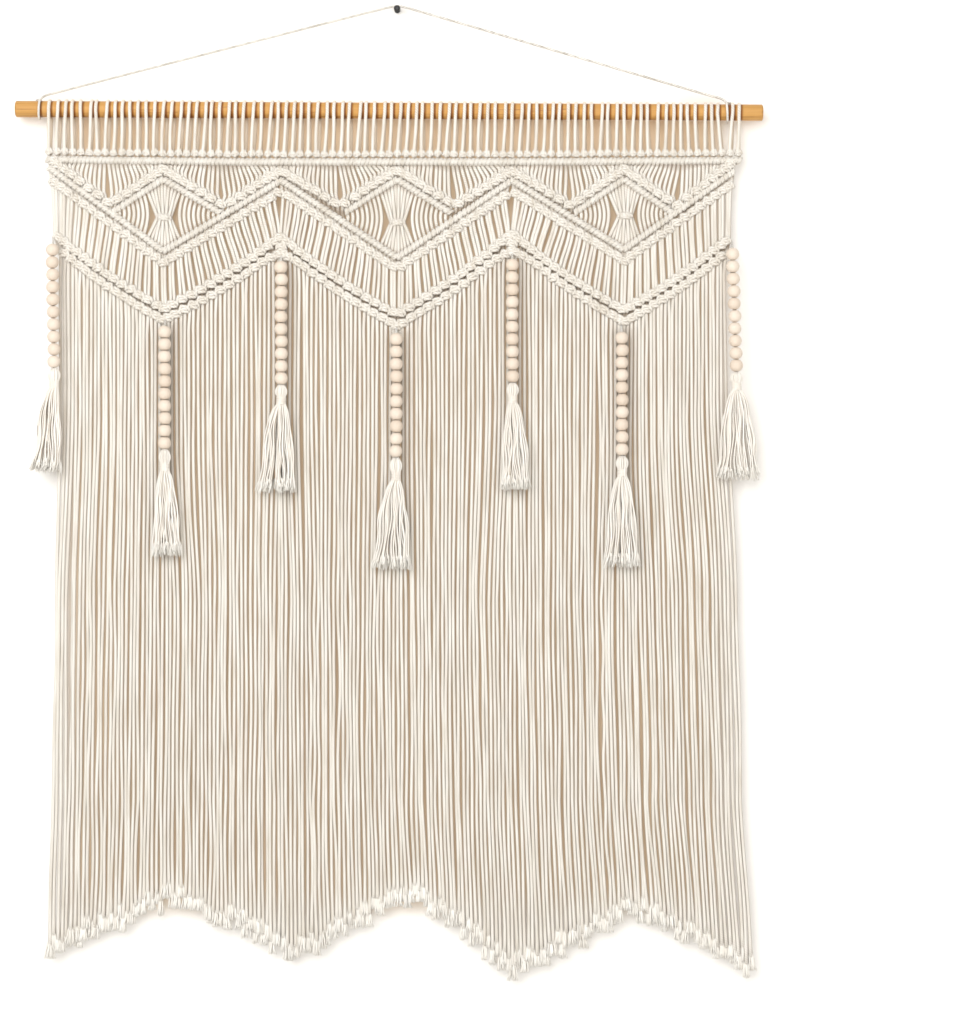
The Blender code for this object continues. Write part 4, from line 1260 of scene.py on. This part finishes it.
def frayed_ends(cords, wisps, rng):
    """Untwisted ends: from every cord's end, wisps that start inside it, bend apart and stop bluntly.

    A wisp's place is end + ahead s length + aside (s^0.7) spread, with a small wave, for s from 0 to 1.
    """
    count, length, spread, thick = wisps
    ends = cords[:, -1]
    total = len(ends) * count
    start = np.repeat(ends, count, axis=0)
    ahead = np.repeat(unit(ends - cords[:, -3]), count, axis=0)
    turn = rng.uniform(0.0, 2 * math.pi, total)
    far = np.sqrt(rng.uniform(0.0, 1.0, total))
    aside = np.stack([np.cos(turn) * far, np.sin(turn) * far * WISP_FLATNESS, np.zeros(total)], axis=1)
    reach = np.repeat(rng.uniform(0.75, 1.15, len(ends)), count) * length * rng.uniform(0.84, 1.0, total)
    fan = np.repeat(rng.uniform(0.55, 1.15, len(ends)), count) * spread
    s = np.linspace(0.0, 1.0, WISP_RINGS)
    wave = WISP_WAVE * np.sin(s[None, :] * rng.uniform(4.0, 9.0, (total, 1)) + turn[:, None]) * s[None, :]
    forward = s[None, :, None] * (reach[:, None, None] + WISP_ROOT) - WISP_ROOT
    apart = WISP_START + (s[None, :, None] ** WISP_SPREADING) * fan[:, None, None]
    paths = start[:, None, :] + (ahead[:, None, :] * forward + aside[:, None, :] * apart) * MM
    paths[..., 0] += wave * MM
    radius = thick * MM * (1 - WISP_TAPER * s)[None, :] * rng.uniform(0.75, 1.2, (total, 1))
    skin = tube(paths, radius, 4)
    return skin._replace(deep=skin.deep * WISP_SHADE)


FRINGE_WISPS = Wisps(count=17, length=TUFT_LENGTH, spread=5.6, thick=1.2)
LOOSE_LIGHT = (0.83, 0.82, 0.785)
LOOSE_GROOVE = (0.73, 0.69, 0.62)
PAINTED_SHADE_BETWEEN_WISPS = (0.56, 0.43, 0.29)
LOOSE_LAY = 60.0
LOOSE_TWIST = 0.15
loose_cotton = cotton("untwisted_cotton", LOOSE_LIGHT, LOOSE_GROOVE, PAINTED_SHADE_BETWEEN_WISPS, LOOSE_LAY, LOOSE_TWIST)
tufts = frayed_ends(fringe_paths, FRINGE_WISPS, fringe_rng)
fringe_tufts = add_piece("fringe_ends", tufts, loose_cotton, ["fringe"])

# The bead strings: ten round beads of pale beech on a cotton cord below each point of the net, sanded and
# left bare, with the end grain showing as faint rings.

BEAD_DIAMETER = 16.2
BEAD_HEIGHT = 15.3
BEADS_PER_STRING = 10
BEAD_HOLE = 3.6
BEAD_DEPTH = 29.5
BEAD_SIDES = 20
BEAD_RINGS = 13
BEAD_FULLNESS = 0.88
BORE_RINGS = (-0.55, 0.0, 0.55)
BORE_SHARE = 0.92
BEAD_TILT = 0.05
bead_rng = np.random.default_rng(17)


def beads(centres, diameters, axes):
    """Bored balls: a circle profile from one rim of the hole to the other, then back up inside the hole.

    The profile, whose radius is sin(polar)^0.88 and whose height is cos(polar), is turned about each bead's
    own axis.
    """
    hole = BEAD_HOLE / BEAD_DIAMETER
    polar = np.linspace(math.asin(hole), math.pi - math.asin(hole), BEAD_RINGS)
    bore = np.full(len(BORE_RINGS), hole * BORE_SHARE)
    radius = np.concatenate([np.sin(polar) ** BEAD_FULLNESS, bore])
    height = np.concatenate([np.cos(polar), BORE_RINGS]) * BEAD_HEIGHT / BEAD_DIAMETER
    around = 2 * math.pi * np.arange(BEAD_SIDES) / BEAD_SIDES
    side = unit(np.cross(axes, np.array([0.0, 1.0, 0.0])))
    out = np.cross(axes, side)
    spokes = np.cos(around)[:, None] * side[:, None, :] + np.sin(around)[:, None] * out[:, None, :]
    local = radius[:, None, None] * spokes[:, None, :, :] + height[:, None, None] * axes[:, None, None, :]
    local = local * (diameters / 2)[:, None, None, None] * MM
    points = (centres[:, None, None, :] + local).reshape(-1, 3)
    quads, uvs = quads_round(len(radius), BEAD_SIDES, np.zeros((2, len(centres), len(radius))))
    return Skin(points, [quads], [np.zeros(uvs.shape)], np.zeros(len(points))), local.reshape(-1, 3)


BEECH = (0.74, 0.665, 0.58)
DARK_BEECH = (0.67, 0.575, 0.48)
RING_BEECH = (0.52, 0.385, 0.275)
PORE_BEECH = (0.48, 0.35, 0.24)
RING_WIDTH = 1.5
RING_WOBBLE = 7.0
RING_SHARE = 0.16
PORES_ABOVE = 0.62
PORE_SHARE = 0.25

beech, beech_shader = new_finish("bare_beech", roughness=0.55, shine=0.3)
in_bead = kept_value(beech.node_tree, "in_bead").outputs["Vector"]
bead_tone = kept_value(beech.node_tree, "bead_tone").outputs["Fac"]
wobble = maths("MULTIPLY", noise(in_bead, 190.0), RING_WOBBLE)
split = node(beech.node_tree, "ShaderNodeSeparateXYZ", Vector=in_bead).outputs
squares = maths("ADD", maths("POWER", split["X"], 2.0), maths("POWER", split["Z"], 2.0))
turns = maths("MULTIPLY", maths("SQRT", squares), 2 * math.pi / (RING_WIDTH * MM))
ring_wave = maths("SINE", maths("ADD", turns, wobble))
pores = noise(in_bead, 1500.0, 3.0)
in_pore = maths("GREATER_THAN", pores, PORES_ABOVE)
in_ring = maths("MULTIPLY", maths("ADD", ring_wave, 1.0), RING_SHARE)
beech_colour = blended(bead_tone, BEECH, DARK_BEECH)
beech_colour = blended(in_ring, beech_colour, RING_BEECH)
beech_colour = blended(maths("MULTIPLY", in_pore, PORE_SHARE), beech_colour, PORE_BEECH)
fill(beech_shader.inputs["Base Color"], beech_colour)
raised(beech_shader, pores, strength=0.25, distance=0.2)

for number, string in enumerate(BEAD_STRINGS, start=1):
    way = np.linspace(0.0, 1.0, BEADS_PER_STRING)
    across = string.top_across + (string.bottom_across - string.top_across) * way
    drop = string.top_drop + (string.bottom_drop - string.top_drop) * way
    across = across + bead_rng.uniform(-0.35, 0.35, BEADS_PER_STRING)
    diameters = BEAD_DIAMETER * bead_rng.uniform(0.985, 1.01, BEADS_PER_STRING)
    tilted = bead_rng.normal(0.0, BEAD_TILT, (2, BEADS_PER_STRING))
    axes = unit(np.stack([*tilted, np.ones(BEADS_PER_STRING)], axis=1))
    skin, local = beads(at(across, BEAD_DEPTH, drop), diameters, axes)
    piece = add_piece(f"beads_{number}", skin, beech, [f"bead_string_{number}"])
    per_bead = len(local) // BEADS_PER_STRING
    middle = np.repeat(bead_rng.uniform(-3.0, 3.0, (BEADS_PER_STRING, 3)) * MM, per_bead, axis=0)
    keep(piece.data, "in_bead", "FLOAT_VECTOR", "vector", local + middle)
    tones = np.repeat(bead_rng.uniform(0.0, 1.0, BEADS_PER_STRING), per_bead)
    keep(piece.data, "bead_tone", "FLOAT", "value", tones)

    # The string comes forward out of the net, over the first bead, and runs through all of them
    first_drop = string.top_drop - 15.0
    line_drop = np.linspace(first_drop, string.bottom_drop + 12.0, 14)
    line_across = np.interp(line_drop, drop, across)
    line_depth = np.interp(line_drop, [first_drop, string.top_drop - 6.0], [NET_DEPTH + 3.0, BEAD_DEPTH])
    core = tube(at(line_across, line_depth, line_drop)[None], HANGING_CORD_DIAMETER / 2 * MM, 8)
    add_piece(f"bead_cord_{number}", core, thin_cotton, [f"bead_string_{number}"])

# The tassels: a hank of short cotton cords below each bead string, doubled over the string's end, bound
# round the neck with a thinner cord, and cut loose, so that each has swung and spread in its own way.

Tassel = namedtuple("Tassel", "across head_top neck_start neck_end left right end parting")
TASSELS = (
    Tassel(-417.8, 442.0, 458.0, 466.0, -447.0, -408.0, 568.0, 0.0),
    Tassel(-283.2, 541.2, 558.0, 567.0, -300.0, -262.0, 671.0, 0.0),
    Tassel(-141.1, 462.4, 477.0, 486.0, -170.0, -122.5, 594.0, 0.25),
    Tassel(-0.9, 551.2, 569.0, 579.0, -31.8, 18.4, 688.0, 0.2),
    Tassel(141.4, 460.0, 475.5, 484.5, 126.0, 164.0, 590.0, 0.0),
    Tassel(275.2, 549.2, 565.0, 574.0, 252.3, 297.6, 685.0, 0.15),
    Tassel(414.7, 446.8, 460.0, 468.5, 389.4, 442.1, 578.0, 0.35),
)
TASSEL_PLIES = 64
TASSEL_RINGS = 24
PLY_RADIUS = 0.95
PLY_SWELLING = 0.1
PLY_SHADE = 0.75
BOUND_SHARE = 0.3
HEAD_RADIUS = 7.6
HEAD_START = 0.04
HEAD_ARC = 0.84
HEAD_FULLNESS = 0.6
NECK_RADIUS = 4.8
SKIRT_SPREAD = 0.55
SKIRT_WAIST = 0.05
SKIRT_DEPTH = 2.6
EDGE_INSET = 2.5
PARTING_WIDTH = 0.05
OWN_WAVE = 0.8
SHARED_WAVE = 1.1
WISP_ROOM = 9.0
NECK_WRAPS = 5
TASSEL_WISPS = Wisps(count=3, length=8.0, spread=2.4, thick=0.85)
GOLDEN_TURN = math.pi * (3 - math.sqrt(5))
tassel_rng = np.random.default_rng(23)


def tassel_paths(tassel):
    """Plies that leave the string's end, round the head, close in at the neck and spread to the skirt's edge.

    The head's radius is a half circle's; the skirt's half width grows with the 0.55th power of the way
    down, with a slight waist low down, and each ply waves in its own way.
    """
    count = TASSEL_PLIES
    spot = np.arange(count)
    far = np.sqrt((spot + 0.5) / count)
    turn = spot * GOLDEN_TURN
    s = np.linspace(0.0, 1.0, TASSEL_RINGS)[None, :]
    inside = np.clip(s / BOUND_SHARE, 0.0, 1.0)
    skirt = np.clip((s - BOUND_SHARE) / (1 - BOUND_SHARE), 0.0, 1.0)
    drop_bound = tassel.head_top + (tassel.neck_end - tassel.head_top) * inside
    on_head = np.clip((drop_bound - tassel.head_top) / (tassel.neck_start - tassel.head_top), 0.0, 1.0)
    ball = HEAD_RADIUS * np.sin(math.pi * (HEAD_START + HEAD_ARC * on_head)) ** HEAD_FULLNESS
    girth = np.where(on_head < 1.0, np.maximum(ball, NECK_RADIUS * 0.6), NECK_RADIUS)
    rank = np.argsort(np.argsort(np.cos(turn) * far)) / (count - 1)
    gap = np.where(rank < tassel.parting, 0.0, PARTING_WIDTH if tassel.parting else 0.0)
    gathered_rank = np.clip(rank + gap + 0.022 * np.sin(rank * 34.0), 0.0, 1.0)
    end_across = tassel.left + EDGE_INSET + (tassel.right - tassel.left - 2 * EDGE_INSET) * gathered_rank
    end_across += tassel_rng.normal(0.0, 1.0, count)
    spread = skirt**SKIRT_SPREAD + SKIRT_WAIST * np.sin(2 * math.pi * skirt)
    waves = (
        tassel_rng.normal(0.0, OWN_WAVE, (count, 1))
        * np.sin(skirt * tassel_rng.uniform(6.0, 15.0, (count, 1)) + turn[:, None])
        + SHARED_WAVE * np.sin(skirt * 9.0 + rank[:, None] * 9.0)
    )
    across = (
        tassel.across
        + (np.cos(turn) * far)[:, None] * girth * (1 - spread)
        + (end_across - tassel.across)[:, None] * spread
        + waves * np.minimum(skirt * 3.0, 1.0)
    )
    depth = BEAD_DEPTH + (np.sin(turn) * far)[:, None] * (girth + SKIRT_DEPTH * skirt)
    depth = depth + tassel_rng.normal(0.0, 0.7, (count, 1)) * np.sin(skirt * 8.0 + spot[:, None])
    end = tassel.end - WISP_ROOM + tassel_rng.uniform(-5.0, 2.5, count)
    falling = tassel.neck_end + (end[:, None] - tassel.neck_end) * skirt
    return at(across, depth, np.where(s < BOUND_SHARE, drop_bound, falling))


for number, tassel in enumerate(TASSELS, start=1):
    replaced = [f"tassel_{number}"]
    paths = tassel_paths(tassel)
    swelling = 1 + PLY_SWELLING * np.linspace(0.0, 1.0, TASSEL_RINGS)
    skin = tube(paths, PLY_RADIUS * MM * swelling[None, :], 5)
    skin = skin._replace(deep=skin.deep * PLY_SHADE)
    wisps = frayed_ends(paths, TASSEL_WISPS, tassel_rng)
    way = (np.arange(NECK_WRAPS) + 0.5) / NECK_WRAPS
    neck_drop = tassel.neck_start + (tassel.neck_end - tassel.neck_start) * way
    centres = at(tassel.across + tassel_rng.uniform(-0.2, 0.2, NECK_WRAPS), BEAD_DEPTH, neck_drop)
    slant = tassel_rng.normal(0.05, 0.05, NECK_WRAPS)
    level = unit(np.stack([np.ones(NECK_WRAPS), np.zeros(NECK_WRAPS), slant], axis=1))
    winding = rings(centres, level, NECK_RADIUS + 0.5, NECK_RADIUS + 0.4, 1.0, 1.0, steps=20, groove=0.9)
    add_piece(f"tassel_cords_{number}", joined([skin, wisps]), loose_cotton, replaced)
    add_piece(f"tassel_binding_{number}", winding, loose_cotton, replaced)
